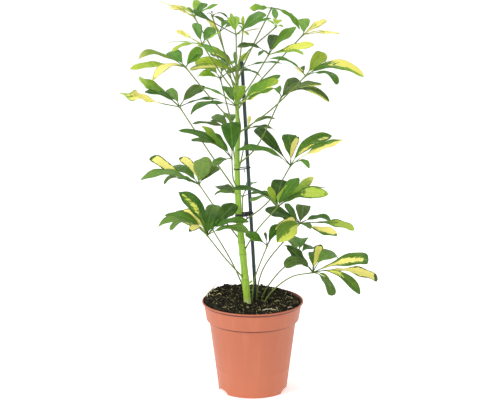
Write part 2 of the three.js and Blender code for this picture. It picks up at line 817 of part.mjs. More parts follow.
function cap([above, below]) {
  const faces = [];
  for (let c = 0; c + 1 < above.length; c++) {
    faces.push(below[c], below[c + 1], above[c + 1]);
    faces.push(below[c], above[c + 1], above[c]);
  }
  return faces;
}

function petioleRadius(share) {
  const sheath = Math.max(0, 1 - share / SHEATH_SHARE);
  return PETIOLE_RADIUS + (SHEATH_RADIUS - PETIOLE_RADIUS) * sheath;
}

function knuckle(hub) {
  const ball = new THREE.OctahedronGeometry(HUB_RADIUS);
  ball.translate(hub.x, hub.y, hub.z);
  return solid(ball);
}

function makeLeaf({ from, foot, bend, hub, leaflets }, stemHole) {
  const end = vector(hub);
  const start = foot ? vector([...foot, SOIL_EDGE - HOLE_DEPTH + SHOOT_LIFT]) : stemPoint(from);
  const route = [start];
  if (foot) route.push(vector([...foot, SOIL_EDGE + SOIL_CROWN]));
  const sagging = start.clone().lerp(end, 0.5).addScaledVector(UP, -PETIOLE_SAG);
  route.push(bend ? vector(bend) : sagging);
  route.push(end);
  let leaf = solid(rod(smoothRoute(route), petioleRadius, PETIOLE_SIDES, PETIOLE_STEPS));
  leaf = leaf.add(knuckle(end));
  for (const tip of leaflets) leaf = leaf.add(leaflet(end, tip));
  return foot ? leaf : leaf.subtract(stemHole);
}

// Assembly
const terracotta = new THREE.MeshStandardMaterial({ color: "#d2794f", roughness: 0.55, metalness: 0 });
const pottingSoil = new THREE.MeshStandardMaterial({ color: "#2c2419", roughness: 0.95, metalness: 0 });
const greenBark = new THREE.MeshStandardMaterial({ color: "#8fb343", roughness: 0.5, metalness: 0 });
const stakeGreen = new THREE.MeshStandardMaterial({ color: "#18332f", roughness: 0.5, metalness: 0 });
const tieBlack = new THREE.MeshStandardMaterial({ color: "#23262a", roughness: 0.6, metalness: 0 });
const leafGreen = new THREE.MeshStandardMaterial({ color: "#4b7d32", roughness: 0.4, metalness: 0 });

const group = new THREE.Group();

function addPiece(name, geometry, material) {
  const mesh = new THREE.Mesh(geometry, material);
  mesh.name = name;
  group.add(mesh);
}

addPiece("pot", geometryOf(makePot()), terracotta);
addPiece("soil", geometryOf(makeSoil()), pottingSoil);
addPiece("stem", stemRod(0), greenBark);
addPiece("stake", stakeRod(0), stakeGreen);
for (const [name, height] of Object.entries(TIE_HEIGHTS)) addPiece(name, makeTie(height), tieBlack);

const stemHole = solid(stemRod(GAP));
for (const [name, leaf] of Object.entries(LEAVES))
  addPiece(name, geometryOf(makeLeaf(leaf, stemHole)), leafGreen);

export default group;
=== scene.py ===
import random
from math import acos, atan2, copysign, cos, degrees, exp, hypot, pi, radians, sin, sqrt
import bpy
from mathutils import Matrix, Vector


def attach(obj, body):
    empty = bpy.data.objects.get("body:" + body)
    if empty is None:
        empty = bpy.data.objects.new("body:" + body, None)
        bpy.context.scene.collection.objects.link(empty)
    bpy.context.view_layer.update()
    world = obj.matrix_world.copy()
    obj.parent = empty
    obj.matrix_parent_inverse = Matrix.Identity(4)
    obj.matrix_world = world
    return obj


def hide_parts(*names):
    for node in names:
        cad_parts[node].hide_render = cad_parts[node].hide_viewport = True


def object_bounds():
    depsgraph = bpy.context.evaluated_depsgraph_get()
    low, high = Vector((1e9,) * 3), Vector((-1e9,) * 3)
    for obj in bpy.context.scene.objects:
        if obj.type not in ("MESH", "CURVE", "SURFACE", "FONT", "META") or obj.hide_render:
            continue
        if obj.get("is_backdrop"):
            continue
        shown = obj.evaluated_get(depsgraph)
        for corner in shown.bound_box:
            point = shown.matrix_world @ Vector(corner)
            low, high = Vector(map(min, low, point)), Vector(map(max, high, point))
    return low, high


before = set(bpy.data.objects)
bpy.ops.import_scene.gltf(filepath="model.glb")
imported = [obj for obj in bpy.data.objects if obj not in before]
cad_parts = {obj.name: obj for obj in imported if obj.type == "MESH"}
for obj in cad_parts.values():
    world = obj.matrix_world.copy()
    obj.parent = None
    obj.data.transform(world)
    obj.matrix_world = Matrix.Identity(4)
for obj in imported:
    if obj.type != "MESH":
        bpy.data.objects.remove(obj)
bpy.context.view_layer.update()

from types import SimpleNamespace as Plan

import bpy
from mathutils import Matrix, Vector, noise

MM = 0.001
UP = Vector((0, 0, 1))
WHOLE_TURN = 6.28  # nearly, in radians, for random turns and waves

# ---- camera, light and floor

IMAGE_WIDTH = 500
FOCAL_PIXELS = 2686
SENSOR_WIDTH = 36
CAMERA_PLACE = (-0.0045, -4.325, 1.444)
CAMERA_PITCH = radians(14.46)  # downward
LIT_POINT = Vector((0, 0, 0.32))
# Name, place, width and power of each lamp
LAMPS = [
    ("key_left", (-1.9, -1.7, 1.9), 1.1, 42),
    ("fill_right", (2.2, -1.5, 1.2), 1.6, 5),
    ("top", (0.1, 0.5, 2.4), 1.2, 16),
]
WORLD_STRENGTH = 0.64

scene = bpy.context.scene


def new_object(name, data):
    made = bpy.data.objects.new(name, data)
    scene.collection.objects.link(made)
    return made


def make_camera():
    camera = bpy.data.cameras.new("camera")
    camera.sensor_width = SENSOR_WIDTH
    camera.sensor_fit = "HORIZONTAL"
    camera.lens = SENSOR_WIDTH * FOCAL_PIXELS / IMAGE_WIDTH
    camera.clip_end = 100
    scene.camera = new_object("camera", camera)
    scene.camera.location = CAMERA_PLACE
    scene.camera.rotation_euler = (pi / 2 - CAMERA_PITCH, 0, 0)


def make_lights():
    for name, place, size, power in LAMPS:
        lamp = bpy.data.lights.new(name, "AREA")
        lamp.shape = "DISK"
        lamp.size = size
        lamp.energy = power
        holder = new_object(name, lamp)
        holder.location = place
        holder.rotation_euler = (LIT_POINT - Vector(place)).to_track_quat("-Z", "Y").to_euler()
    world = bpy.data.worlds.new("soft_white")
    world.use_nodes = True
    background = world.node_tree.nodes["Background"]
    background.inputs["Color"].default_value = (1, 1, 1, 1)
    background.inputs["Strength"].default_value = WORLD_STRENGTH
    scene.world = world
    scene.view_settings.view_transform = "Standard"
    scene.view_settings.look = "None"


# ---- shared shape helpers


class Skin:
    """Points and faces of one mesh, with named values on its points."""

    def __init__(self):
        self.points = []
        self.faces = []
        self.values = {}

    def add(self, points, faces, **values):
        first = len(self.points)
        self.points += points
        self.faces += [tuple(first + i for i in face) for face in faces]
        for name, column in values.items():
            self.values.setdefault(name, []).extend(column)

    def mesh(self, name):
        made = bpy.data.meshes.new(name)
        made.from_pydata([tuple(p * MM) for p in self.points], [], self.faces)
        return made

    def build(self, name, material, slot, replaced=()):
        mesh = self.mesh(name)
        for key, column in self.values.items():
            kind = "vector" if len(column[0]) == 3 else "color"
            layer = mesh.attributes.new(key, "FLOAT_" + kind.upper(), "POINT")
            layer.data.foreach_set(kind, [number for entry in column for number in entry])
        mesh.polygons.foreach_set("use_smooth", [True] * len(mesh.polygons))
        mesh.validate()
        mesh.update()
        mesh.materials.append(material)
        piece = new_object(name, mesh)
        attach(piece, "root")
        if replaced:
            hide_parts(*replaced)
        return piece


def smooth_route(points, steps):
    """Points along a centripetal Catmull-Rom curve, that many on each stretch."""
    knots = [Vector(p) for p in points]
    knots = [2 * knots[0] - knots[1], *knots, 2 * knots[-1] - knots[-2]]
    route = []
    for a, b, c, d in zip(knots, knots[1:], knots[2:], knots[3:]):
        ab, bc, cd = (sqrt((q - p).length) for p, q in ((a, b), (b, c), (c, d)))
        start = ((b - a) / ab - (c - a) / (ab + bc) + (c - b) / bc) * bc
        end = ((c - b) / bc - (d - b) / (bc + cd) + (d - c) / cd) * bc
        for k in range(steps):
            t = k / steps
            square, cube = 3 * (c - b) - 2 * start - end, 2 * (b - c) + start + end
            route.append(b + start * t + square * t**2 + cube * t**3)
    route.append(knots[-2])
    return route


def shares(route):
    """How far along the route each of its points is, from 0 to 1."""
    lengths = [0.0]
    for p, q in zip(route, route[1:]):
        lengths.append(lengths[-1] + (q - p).length)
    return [length / lengths[-1] for length in lengths]


def frames_along(route):
    """Tangent and two cross directions at each point, turning as little as possible."""
    tangents = []
    for i in range(len(route)):
        ahead = route[min(i + 1, len(route) - 1)] - route[max(i - 1, 0)]
        tangents.append(ahead.normalized())
    first = tangents[0].cross(UP if abs(tangents[0].z) < 0.9 else Vector((1, 0, 0))).normalized()
    result = []
    for tangent in tangents:
        first = (first - tangent * first.dot(tangent)).normalized()
        result.append((tangent, first, tangent.cross(first)))
    return result


def bell(distance, width):
    """1 in the middle, and nearly nothing at twice the width from it."""
    return exp(-((distance / width) ** 2))


def spread(first, last, steps):
    """Evenly spaced values, both ends among them."""
    return [first + (last - first) * i / steps for i in range(steps + 1)]


def polar(radius, turn, height=0.0):
    """The point at a distance from the upright axis and a bearing in radians."""
    return Vector((radius * cos(turn), radius * sin(turn), height))


def ring_faces(rings, sides, first=0):
    """Faces between rings of points that follow each other, from the first point's number on."""
    faces = []
    for i in range(rings - 1):
        for k in range(sides):
            a, b = first + i * sides + k, first + i * sides + (k + 1) % sides
            faces.append((a, b, b + sides, a + sides))
    return faces


def round_faces(rings, sides):
    """Faces of a closed round shape: one point, rings of points, and one point."""
    top = 1 + rings * sides
    faces = ring_faces(rings, sides, 1)
    for k in range(sides):
        n = (k + 1) % sides
        faces += [(0, 1 + n, 1 + k), (top - sides + k, top - sides + n, top)]
    return faces


def tube_faces(rings, sides):
    last = (rings - 1) * sides
    ends = [tuple(reversed(range(sides))), tuple(last + k for k in range(sides))]
    return ring_faces(rings, sides) + ends


def tube(route, radii, sides):
    """Points and faces of a closed tube, with a radius for each point of its route."""
    points = []
    for centre, radius, (_, first, second) in zip(route, radii, frames_along(route)):
        for k in range(sides):
            angle = 2 * pi * k / sides
            points.append(centre + radius * (cos(angle) * first + sin(angle) * second))
    return points, tube_faces(len(route), sides)


def ball(centre, radius, rings=6, sides=10, squash=1.0):
    points = [centre - UP * radius * squash]
    for i in range(1, rings):
        rise = pi * i / rings
        for k in range(sides):
            turn = 2 * pi * k / sides
            points.append(centre + polar(radius * sin(rise), turn, -radius * squash * cos(rise)))
    points.append(centre + UP * radius * squash)
    return points, round_faces(rings - 1, sides)


def linear(red, green, blue):
    """An sRGB colour, 0 to 255, as the scene's linear numbers."""
    def channel(value):
        share = value / 255
        return share / 12.92 if share <= 0.04045 else ((share + 0.055) / 1.055) ** 2.4
    return (channel(red), channel(green), channel(blue), 1)


# ---- material helpers

OBJECT_OUTPUT = 3  # place of the object coordinates among a texture coordinate node's outputs


class Value:
    """A value that varies over the surface, and can be added, subtracted and multiplied."""

    def __init__(self, shader, socket):
        self.shader = shader
        self.socket = socket

    def __add__(self, other):
        return self.shader.math("ADD", self, other)

    def __sub__(self, other):
        return self.shader.math("SUBTRACT", self, other)

    def __rsub__(self, other):
        return self.shader.math("SUBTRACT", other, self)

    def __mul__(self, other):
        return self.shader.math("MULTIPLY", self, other)

    def __abs__(self):
        return self.shader.math("ABSOLUTE", self)


class Shader:
    """A node material in the making: nodes are added by short calls that return their outputs."""

    def __init__(self, name):
        self.material = bpy.data.materials.new(name)
        self.material.use_nodes = True
        self.tree = self.material.node_tree
        self.surface = self.tree.nodes["Principled BSDF"]

    def link(self, value, socket):
        if isinstance(value, Value):
            self.tree.links.new(value.socket, socket)
        else:
            socket.default_value = value

    def node(self, kind, settings=None, values=(), sockets=range(9), **inputs):
        """A new node, with values for its first sockets or the given ones, and for named ones."""
        made = self.tree.nodes.new(kind)
        for key, value in (settings or {}).items():
            setattr(made, key, value)
        for value, number in zip(values, sockets):
            self.link(value, made.inputs[number])
        for key, value in inputs.items():
            self.link(value, made.inputs[key])
        return [Value(self, socket) for socket in made.outputs]

    def math(self, operation, *values, clamp=False):
        return self.node("ShaderNodeMath", {"operation": operation, "use_clamp": clamp}, values)[0]

    def mix(self, share, first, second):
        """A blend of two colours. A plain one of three numbers is sRGB, 0 to 255."""
        pair = [linear(*c) if isinstance(c, tuple) and len(c) == 3 else c for c in (first, second)]
        return self.node("ShaderNodeMix", {"data_type": "RGBA"}, (share, *pair), (0, 6, 7))[2]

    def tint(self, colour, value, low, high, most, shade):
        """The colour, turned toward a shade by that much at most, where the value is high."""
        return self.mix(self.step(value, low, high, 0, most), colour, shade)

    def step(self, value, low, high, first=0.0, second=1.0):
        """Smooth change from first to second while the value goes from low to high."""
        settings = {"interpolation_type": "SMOOTHSTEP"}
        return self.node("ShaderNodeMapRange", settings, (value, low, high, first, second))[0]

    def noise(self, place, scale, detail=3.0, roughness=0.5, distortion=0.0):
        """Noise at a place, or at object coordinates stretched by three plain numbers."""
        place = self.place(*place) if isinstance(place, tuple) else place
        return self.node("ShaderNodeTexNoise", Vector=place, Scale=scale, Detail=detail,
                         Roughness=roughness, Distortion=distortion)[0]

    def place(self, *stretch):
        """Object coordinates in metres, stretched by three numbers if given."""
        metres = self.node("ShaderNodeTexCoord")[OBJECT_OUTPUT]
        return self.node("ShaderNodeVectorMath", {"operation": "MULTIPLY"}, (metres, stretch or (1, 1, 1)))[0]

    def parts(self, vector):
        return self.node("ShaderNodeSeparateXYZ", Vector=vector)

    def joined(self, *numbers):
        return self.node("ShaderNodeCombineXYZ", values=numbers)[0]

    def attribute(self, name):
        """Colour, vector, factor and alpha of a named value on the points."""
        return self.node("ShaderNodeAttribute", {"attribute_name": name})

    def attribute_parts(self, name):
        return self.parts(self.attribute(name)[1])

    def bump(self, height, strength, distance):
        made = self.node("ShaderNodeBump", Height=height, Strength=strength, Distance=distance)
        self.link(made[0], self.surface.inputs["Normal"])

    def finish(self, colour, roughness, specular=0.5, **inputs):
        inputs.update(Base_Color=colour, Roughness=roughness, Specular_IOR_Level=specular)
        for key, value in inputs.items():
            self.link(value, self.surface.inputs[key.replace("_", " ")])
        return self.material


# ---- leaf material


def leaf_material():
    s = Shader("variegated_leaf")
    across, along, seed = s.attribute_parts("place")
    cream_share, centre_bias, underside = s.attribute_parts("pattern")
    one_side, green_edge, begins = s.attribute_parts("sector")
    base, _, _, stalk = s.attribute("tone")  # stalk is 1 on the blade, 0 on stalks
    pale = s.attribute("pale")[0]
    off_rib = abs(across)
    slant = along - off_rib * 0.2  # runs nearly with the side veins

    def pattern(first, second, wide, long, scale, detail):
        return s.noise(s.joined(first * wide, second * long, seed), scale, detail)

    # Sectors of cream that start at the rib and run out along the side veins
    broad = pattern(across, slant, 0.9, 1.6, 1.7, 2)
    streaks = pattern(across, slant, 1.1, 9, 1.5, 2)
    fringe = pattern(across, slant, 5, 26, 1.4, 2)
    ragged = off_rib + (streaks - 0.5) * 0.7
    margin = s.math("MAXIMUM", s.step(ragged, 0.68, 0.9), s.step(along, 0.86, 0.95))
    within = along * s.math("SIGN", begins) - begins + (streaks - 0.5) * 0.6
    outside = s.step(within, -0.1, 0.1, 1, 0) * s.step(abs(begins), 0, 0.01)
    field = broad * 0.55 + streaks * 0.35 + fringe * 0.12 + centre_bias * (0.5 - off_rib) * 0.55
    field = field + one_side * across * 0.5 - margin * green_edge * 0.75 - outside * 0.6
    inner = field - (0.98 - cream_share * 0.96)
    cream_mask = s.step(inner, -0.012, 0.022) * stalk
    pale_mask = s.step(inner, -0.085, -0.03) * s.step(cream_share, 0.02, 0.2)

    mottle = pattern(across, slant, 2, 7, 2.2, 4)
    green = s.tint(base, mottle, 0.3, 0.72, 0.4, (36, 66, 18))
    clouds = pattern(across, along, 1, 2.6, 1.3, 2)
    green = s.tint(green, clouds, 0.4, 0.75, 0.22, (112, 158, 56))
    lighter = s.mix(0.34, green, (146, 184, 60))
    green = s.mix(pale_mask * 0.75, green, lighter)
    cream = s.tint(pale, mottle, 0.35, 0.7, 0.3, (224, 212, 96))
    colour = s.mix(cream_mask, green, cream)

    # Rib and side veins
    rib = s.step(off_rib, 0.02, 0.075, 1, 0) * stalk
    ladder = s.math("FRACT", (along - off_rib * VEIN_SLANT) * SIDE_VEINS)
    veins = s.step(abs(ladder - 0.5), 0, 0.1, 1, 0) * s.step(off_rib, 0.75, 1, 1, 0) * stalk
    vein_colour = s.mix(0.5, colour, (164, 188, 84))
    colour = s.mix(rib * 0.5, colour, vein_colour)
    colour = s.mix(veins * 0.14, colour, vein_colour)

    # The paler, matter underside, and the stalks
    below = s.mix(0.5, colour, (120, 146, 74))
    colour = s.mix(underside * (stalk * 0.5), colour, below)
    stalk_grain = s.noise((900, 900, 120), 1, 2)
    stalk_colour = s.mix(s.step(stalk_grain, 0.35, 0.7), base, (104, 112, 60))
    colour = s.mix(stalk, stalk_colour, colour)

    gloss = pattern(across, along, 3, 9, 2, 3)
    roughness = s.step(gloss, 0.3, 0.7, 0.32, 0.44) + underside * 0.22
    cells = s.noise((1, 1, 1), 900, 2)
    s.bump(veins * -0.5 + rib * -1.0 + cells * 0.25, 0.35, 0.0006)
    return s.finish(colour, roughness, 0.2, Subsurface_Weight=0.15, Subsurface_Scale=1.0,
                    Subsurface_Radius=(0.004, 0.004, 0.0015))


# ---- leaves

BLADE_SLENDERNESS = 0.17
BLADE_ARCH = 0.14
WIDEST_AT = 0.62
TAPER = 1.12
RIM_RISE = 0.2
BLADE_HALF_THICKNESS = 0.28
STALK_RADIUS = 0.9
RIB_DEPTH = 0.7
STATIONS = 30
TIP_CROWDING = 1.25  # above 1, the stations are closer toward the tip
HOOK_SCALE = 27 / 4  # makes late * late * (1 - late) reach 1
COLUMNS = 8  # from edge to edge, on each face
EDGE_CROWDING = 0.85  # below 1, the columns are closer toward the edges
SIDE_VEINS = 9
VEIN_SLANT = 0.26
HUB_RADIUS = 1.9
PETIOLE_RADIUS = 1.25
SHEATH_RADIUS = 2.2
SHEATH_SHARE = 0.12
PETIOLE_SIDES = 10
SOIL_EDGE = 151
SOIL_CROWN = 4.5
ROOTED_AT = 115  # height of the buried ends of the leaves that stand in the soil

CREAM = (240, 228, 132)
LIME = (196, 214, 76)


def tone(near, far, share=0.0, bias=0.0, side=0.0, edge=0.0, pale=CREAM, late=1.0, start=0.0):
    """A blade's colours near its foot and tip, and the share of it that is pale.

    The pale sectors keep to the rib (bias 1) or to the edges (bias -1), to one half of the blade
    (side 1 or -1), and inside a green edge (edge 1). They begin at the share of the length given as
    start, or end there if it is negative. late puts off the change to the tip's colour.
    """
    return Plan(**locals())


TONES = dict(
    d=tone((46, 94, 30), (54, 102, 32)),
    g=tone((68, 120, 38), (80, 132, 42)),
    G=tone((94, 144, 38), (104, 152, 42)),
    l=tone((128, 168, 48), (146, 184, 54)),
    y=tone((152, 184, 48), (188, 212, 62)),
    i=tone((148, 182, 48), (182, 208, 60)),
    r=tone((96, 134, 34), (124, 156, 40)),
    u=tone((88, 128, 58), (102, 140, 66)),
    U=tone((124, 158, 80), (134, 166, 86)),
    k=tone((30, 62, 24), (36, 70, 26)),
    o=tone((72, 98, 46), (64, 94, 44)),
    c=tone((60, 104, 34), (64, 108, 36), 0.43, 0.8, side=0.3, edge=0.35),
    C=tone((104, 146, 40), (142, 174, 50), 0.5, 0.8),
    z=tone((66, 116, 40), (60, 106, 36), 0.34, 0.3, side=0.5, edge=0.2),
    Z=tone((62, 108, 36), (70, 116, 40), 0.55, 0, side=0.8),
    s=tone((42, 84, 28), (46, 90, 30), 0.36, 0.5, side=-0.3, edge=0.3, pale=(206, 214, 92)),
    a=tone((62, 100, 34), (58, 98, 32), 0.5, 0.8, pale=(206, 214, 92), start=-0.5),
    b=tone((88, 122, 54), (96, 132, 56), 0.5, 0.6, start=-0.3),
    w=tone((84, 122, 42), (56, 94, 30), 0.92, 0.3, edge=1),
    W=tone((84, 122, 42), (60, 92, 44), 0.66, 0.6, edge=1, pale=(236, 228, 120)),
    e=tone((66, 110, 36), (78, 120, 38), 0.4, -0.8, pale=(206, 214, 92)),
    x=tone((86, 104, 44), (76, 104, 42), 0.34, -0.4, side=0.6, pale=(196, 206, 90)),
    f=tone((60, 86, 30), (52, 78, 28), 0.4, -0.2, side=0.8, pale=(186, 206, 96), start=0.4),
    v=tone((60, 104, 34), (150, 186, 56), 0.62, 0, side=-0.7, pale=(232, 226, 110), late=2, start=0.4),
    m=tone((62, 108, 36), (178, 212, 70), 0.8, 0.2, edge=0.6, pale=(160, 190, 70), late=3, start=0.45),
    M=tone((70, 112, 36), (176, 200, 60), 0.8, 0.2, edge=0.3, pale=(208, 214, 84), late=3, start=0.35),
    p=tone((186, 190, 76), (214, 202, 88), 0.5, 0.1),
    j=tone((150, 170, 60), (222, 214, 106), 0.85, 0.2, edge=0.7),
    h=tone((100, 136, 38), (104, 140, 38), 0.42, 0, side=-1, pale=(212, 228, 92)),
    n=tone((88, 136, 38), (172, 196, 58), 0.1, 0.2, pale=LIME, late=2.5),
    N=tone((84, 122, 42), (170, 196, 84), 0.95, 0, edge=0.5, late=2, start=-0.7),
    q=tone((62, 106, 34), (66, 110, 36), 0.62, 0, side=-0.7, edge=0.3),
    t=tone((110, 144, 44), (242, 228, 134), late=5),
)


LEAVES = []


def blade(dx, dy, dz, lean, look, wide=1, arch=1, blunt=0, stalk=0.17, twist=0, hook=0, wave=1, sway=0):
    """A leaflet of the last leaf: its tip from the hub, its face's lean to the front in degrees, its tone.

    wide and arch are shares of the usual ones, blunt is how square the end is, and stalk the share of
    the length that is bare stalk. twist turns the outer end further to the front, in degrees. hook is
    the rise before a drooping tip and sway the sidewards bow, as shares of the length. wave is the
    height of the edge's waves, as a share of the usual one.
    """
    LEAVES[-1].leaflets.append(Plan(**locals()))


def leaf(number, hub, height=None, foot=None, bend=None):
    """One leaf: the hub that its leaflets grow from, and where its petiole starts: at a height on the
    stem, or at a foot in the soil. bend is a point that the petiole passes, if it isn't straight."""
    LEAVES.append(Plan(name=f"leaf_{number:02}", leaflets=[], **locals()))


leaf(1, (100, -34, 213), foot=(20, -12), bend=(62, -26, 202))
blade(92, -10, 25, 35, "c", 0.9, 0.5, 0.9)
blade(110, 44, -24, 22, "w", 0.6, 0.45, 0.7, 0.3)
blade(77, -40, -26, 22, "a", 0.58, 1.5, stalk=0.25)
blade(30, -65, -21, 8, "o", 0.66, 0.9, 1, hook=0.04)
blade(26, -30, -3, 10, "e", 0.5, 0.6)
blade(14, 46, 36, 45, "W", 0.85, 0.4, twist=-40)
blade(43, 50, 11, 28, "u", 1.1, 1.8, stalk=0.2)
blade(-48, -30, 19, 36, "o", 0.95, 1.7, 0.6, hook=0.06)
blade(-43, 8, 43, 35, "k", 1.1, 0.3)
blade(2, 58, 20, 10, "g", 0.8)
leaf(2, (77, 30, 225), foot=(15, 6), bend=(40, 17, 194))
blade(-20, 55, 12, 5, "u", 1.1)
blade(30, 60, -6, 10, "d", 0.9, 0.8)
blade(7, 78, 6, 0, "g")
blade(-22, 40, 6, 5, "u", 0.9, 0.7)
leaf(3, (24, -30, 258), foot=(-1, -12), bend=(4, -20, 200))
blade(-36, 6, 20, 35, "g", 1.5, 0.5, 0.4)
blade(-4, 40, 12, 5, "k", 0.35, 0.8)
blade(50, 44, 36, 38, "w", 0.66, 0.5, sway=-0.06)
blade(18, 30, 29, 20, "d", 1, 0.5)
leaf(4, (79, 10, 286), foot=(6, -3), bend=(18, -4, 212))
blade(-39, -64, -16, 38, "h", 1.25, 0.4, -0.5, 0.05)
blade(6, 45, 20, 0, "o", 1.5, 0.3, 0.5, 0.05)
blade(-24, 55, 20, 25, "d", 0.55, 0.2)
blade(-58, 30, 17, 33, "k", 1, 0.1, 0.1)
blade(-28, 28, 5, 40, "g", 1.2, 0.4)
blade(56, 50, -14, 8, "d", 0.8, 0.9, twist=30)
blade(91, 0, -11, 24, "m", 0.66, 0.4, 0.3, 0.3)
blade(61, -48, -8, 30, "q", 0.75, 0, stalk=0.3)
blade(18, -35, 0, 10, "u", 0.9, 0.7)
leaf(5, (-68, 50, 265), 169, bend=(-36, 26, 216))
blade(-3, 50, 29, 5, "u")
blade(-70, 30, 15, 10, "g")
blade(45, 55, 20, 10, "u")
blade(-40, 72, 8, 5, "g")
leaf(6, (-75, -60, 284), 194)
blade(-48, 45, 62, 28, "s", 0.85, 1.4, -0.4)
blade(-44, 50, 27, 36, "w", 0.72)
blade(-70, 20, 29, 27, "g", 0.8, 1.05)
blade(-80, -10, 17, 16, "b", 0.6, 1.2, hook=0.08)
blade(-59, -50, 22, 12, "u", 0.65, 1.3, 0.6, hook=0.08)
blade(-28, -55, 21, 15, "w", 0.6, 1.3)
blade(6, 40, 28, 12, "g", 2.1, 0.6, stalk=0.08, wave=0.6)
blade(12, 70, 34, 5, "u", 0.9, 0.4, 0.5)
blade(46, 45, 42, 25, "k", 1, 0.4, 0.5)
blade(69, -5, 24, 15, "g", 0.8, 1.1)
blade(70, -25, 11, 12, "u", 0.8)
leaf(7, (40, -50, 329), 239, bend=(4, -14, 276))
blade(-76, -5, 32, 12, "d", 0.8, 1.15)
blade(-44, -45, 22, 0, "u", 0.95, 1.4)
blade(10, 50, 34, 5, "k", 1.5, 0.4, 0.4, 0.08)
blade(60, 20, 47, 20, "t", 0.6, 0.25, twist=50, sway=0.05)
blade(84, -10, 25, 33, "m", 0.72, 0.9, twist=25, wave=1.6)
blade(81, 10, 31, 3, "g", 0.5, 0.7)
blade(16, -20, 42, 18, "y", 1, 0.5, stalk=0.1)
blade(36, 34, 42, 18, "g", 1.05, 0.4, stalk=0.08)
blade(-14, 30, 28, 10, "y", 0.8, 0.5)
leaf(8, (-17, 85, 313), 250)
blade(-47, 40, 7, 18, "o", 1, 0.7)
blade(-48, -8, 4, 12, "u", 0.7, 0.8, hook=0.05)
blade(22, 60, 8, 5, "u", 0.7)
blade(50, -10, 0, 5, "d")
leaf(9, (-90, 45, 344), 258)
blade(-98, 0, 8, 17, "u", 0.66, 1.05)
blade(-57, -50, 13, 0, "o", 0.45, 0.8, 0.5, hook=0.07)
blade(-82, 30, 40, 36, "w", 0.62, 0.1, 0.7, hook=0.05, sway=-0.03)
blade(-34, 55, 33, 25, "w", 0.62, 0.3, 0.3, sway=0.06)
blade(-44, 68, 16, 10, "g", 0.9, 0.6)
blade(8, 40, 38, 8, "U", 1.7, 0.3, stalk=0.1)
blade(-36, -20, 16, 25, "g", 1, 0.5)
blade(32, 45, 19, 22, "u", 0.9, 0.3, 0.4, 0.1)
leaf(10, (63, 10, 385), 288, bend=(26, 0, 326))
blade(-89, -35, 34, 20, "g", 0.7, 0.85, stalk=0.08)
blade(-57, 40, 55, 25, "k", 0.78, 0.15, 0.9)
blade(-4, 50, 42, 5, "d", 1.15, 0.4, 0.6)
blade(14, 28, 43, 40, "w", 0.6, 0.3, sway=-0.05)
blade(69, 30, 44, 30, "z", 0.8, 1, stalk=0.1)
blade(87, -20, 49, 26, "Z", 0.44, 0.5, -0.3, twist=60, wave=2.4)
blade(30, -45, 6, 10, "g", 0.62, 1.2, hook=0.07)
leaf(11, (-121, 10, 485), 340, bend=(-70, 6, 406))
blade(-97, -30, 30, 24, "N", 0.55, -0.1, 0.2, 0.3, twist=130, hook=0.03, wave=1.6)
blade(-68, 35, 42, 32, "n", 0.6, 0, 0.8, twist=85, sway=0.04)
blade(-58, 30, 19, 22, "d", 0.72, 1, 0.2)
blade(-22, 40, 20, 25, "u", 1, 0.6)
blade(41, 52, 24, 33, "o", 0.85, 0.5)
blade(66, 20, 8, 0, "d", 0.5, 0.6)
leaf(12, (-34, -85, 420), 350, bend=(-32, -46, 376))
blade(-87, 25, 41, 20, "d", 0.52, 0.9, -0.2)
blade(-65, -25, 36, 12, "o", 0.62, 0.9, 0.8)
blade(-49, 5, 53, 28, "n", 0.6, 0.2, hook=0.03)
blade(-40, 22, 40, 22, "d", 0.8, 0.5)
blade(-3, 45, 50, 0, "d", 1.4, 0.3, 0.7)
blade(-29, -72, 5, 8, "u", 0.6, 0.3)
leaf(13, (-36, 80, 431), 360)
blade(-33, 50, 11, 22, "u", 0.85, 0.8)
blade(-35, -8, 17, 10, "o", 0.6, 0.6)
blade(-66, 20, 5, 14, "o", 0.6, 0.35)
blade(0, 72, 8, 0, "g")
leaf(14, (-9, 95, 428), 368)
blade(47, 30, 11, 12, "o", 0.6, 0.85)
blade(47, 20, -9, 14, "o", 0.75, 0.8, hook=0.04)
blade(4, 40, 14, 5, "p", 0.45, 0.3)
leaf(15, (48, 60, 491), 388, bend=(4, 2, 416))
blade(34, 50, 14, 18, "o", 1.3, 0.9, 0.2, 0.05)
blade(68, 20, 17, 25, "x", 0.7, 0.6)
blade(79, -30, -2, 10, "f", 0.62, 1.35)
blade(-10, 50, 4, 5, "g", 0.9, 0.6)
leaf(16, (-54, 70, 520), 425)
blade(-38, 40, -5, 30, "l", 0.8, 0.6, hook=0.05)
blade(-33, 40, 11, 10, "l")
blade(20, 75, 10, 0, "g")
blade(50, 50, 5, 5, "g")
leaf(17, (-27, -75, 505), 434, bend=(-20, -44, 464))
blade(10, 40, 26, 5, "r", 1.25, 0.5, stalk=0.08)
blade(-17, 45, 23, 5, "g", 1.1, 0.4, 0.5)
blade(69, 12, 40, 28, "n", 0.85, 0.6, wave=1.6)
blade(62, -30, 36, 28, "e", 0.66, 0.3, wave=1.6)
blade(-73, -35, -7, 12, "d", 0.6, 1.05, hook=0.06)
blade(-53, 15, 28, 0, "g", 0.4, 0.5)
blade(72, 30, 45, 22, "g", 0.7, 0.4)
leaf(18, (87, 10, 537), 442, bend=(30, -8, 484))
blade(96, 0, -1, 38, "v", 0.72, 1.4, 0.1, 0.08)
blade(51, -48, -4, 12, "d", 0.6, 1.2, 0.7, hook=0.08)
blade(33, 48, 29, 28, "y", 1.05, 0.5, twist=20, wave=1.5)
blade(-12, 50, 3, 12, "q", 1.1, 0.4, 0.5)
blade(-58, 6, 28, 5, "g", 0.5)
leaf(19, (-110, -20, 558), 452)
blade(-77, 10, 11, 10, "t", 0.5, 1.1, twist=40, hook=0.08)
blade(-90, -15, 0, 22, "y", 0.62, 0.55, stalk=0.3)
blade(-52, -50, -12, 32, "j", 0.58, 1.4, hook=0.03)
blade(-26, 55, 15, 25, "g", 1.15, 0.5, 0.3)
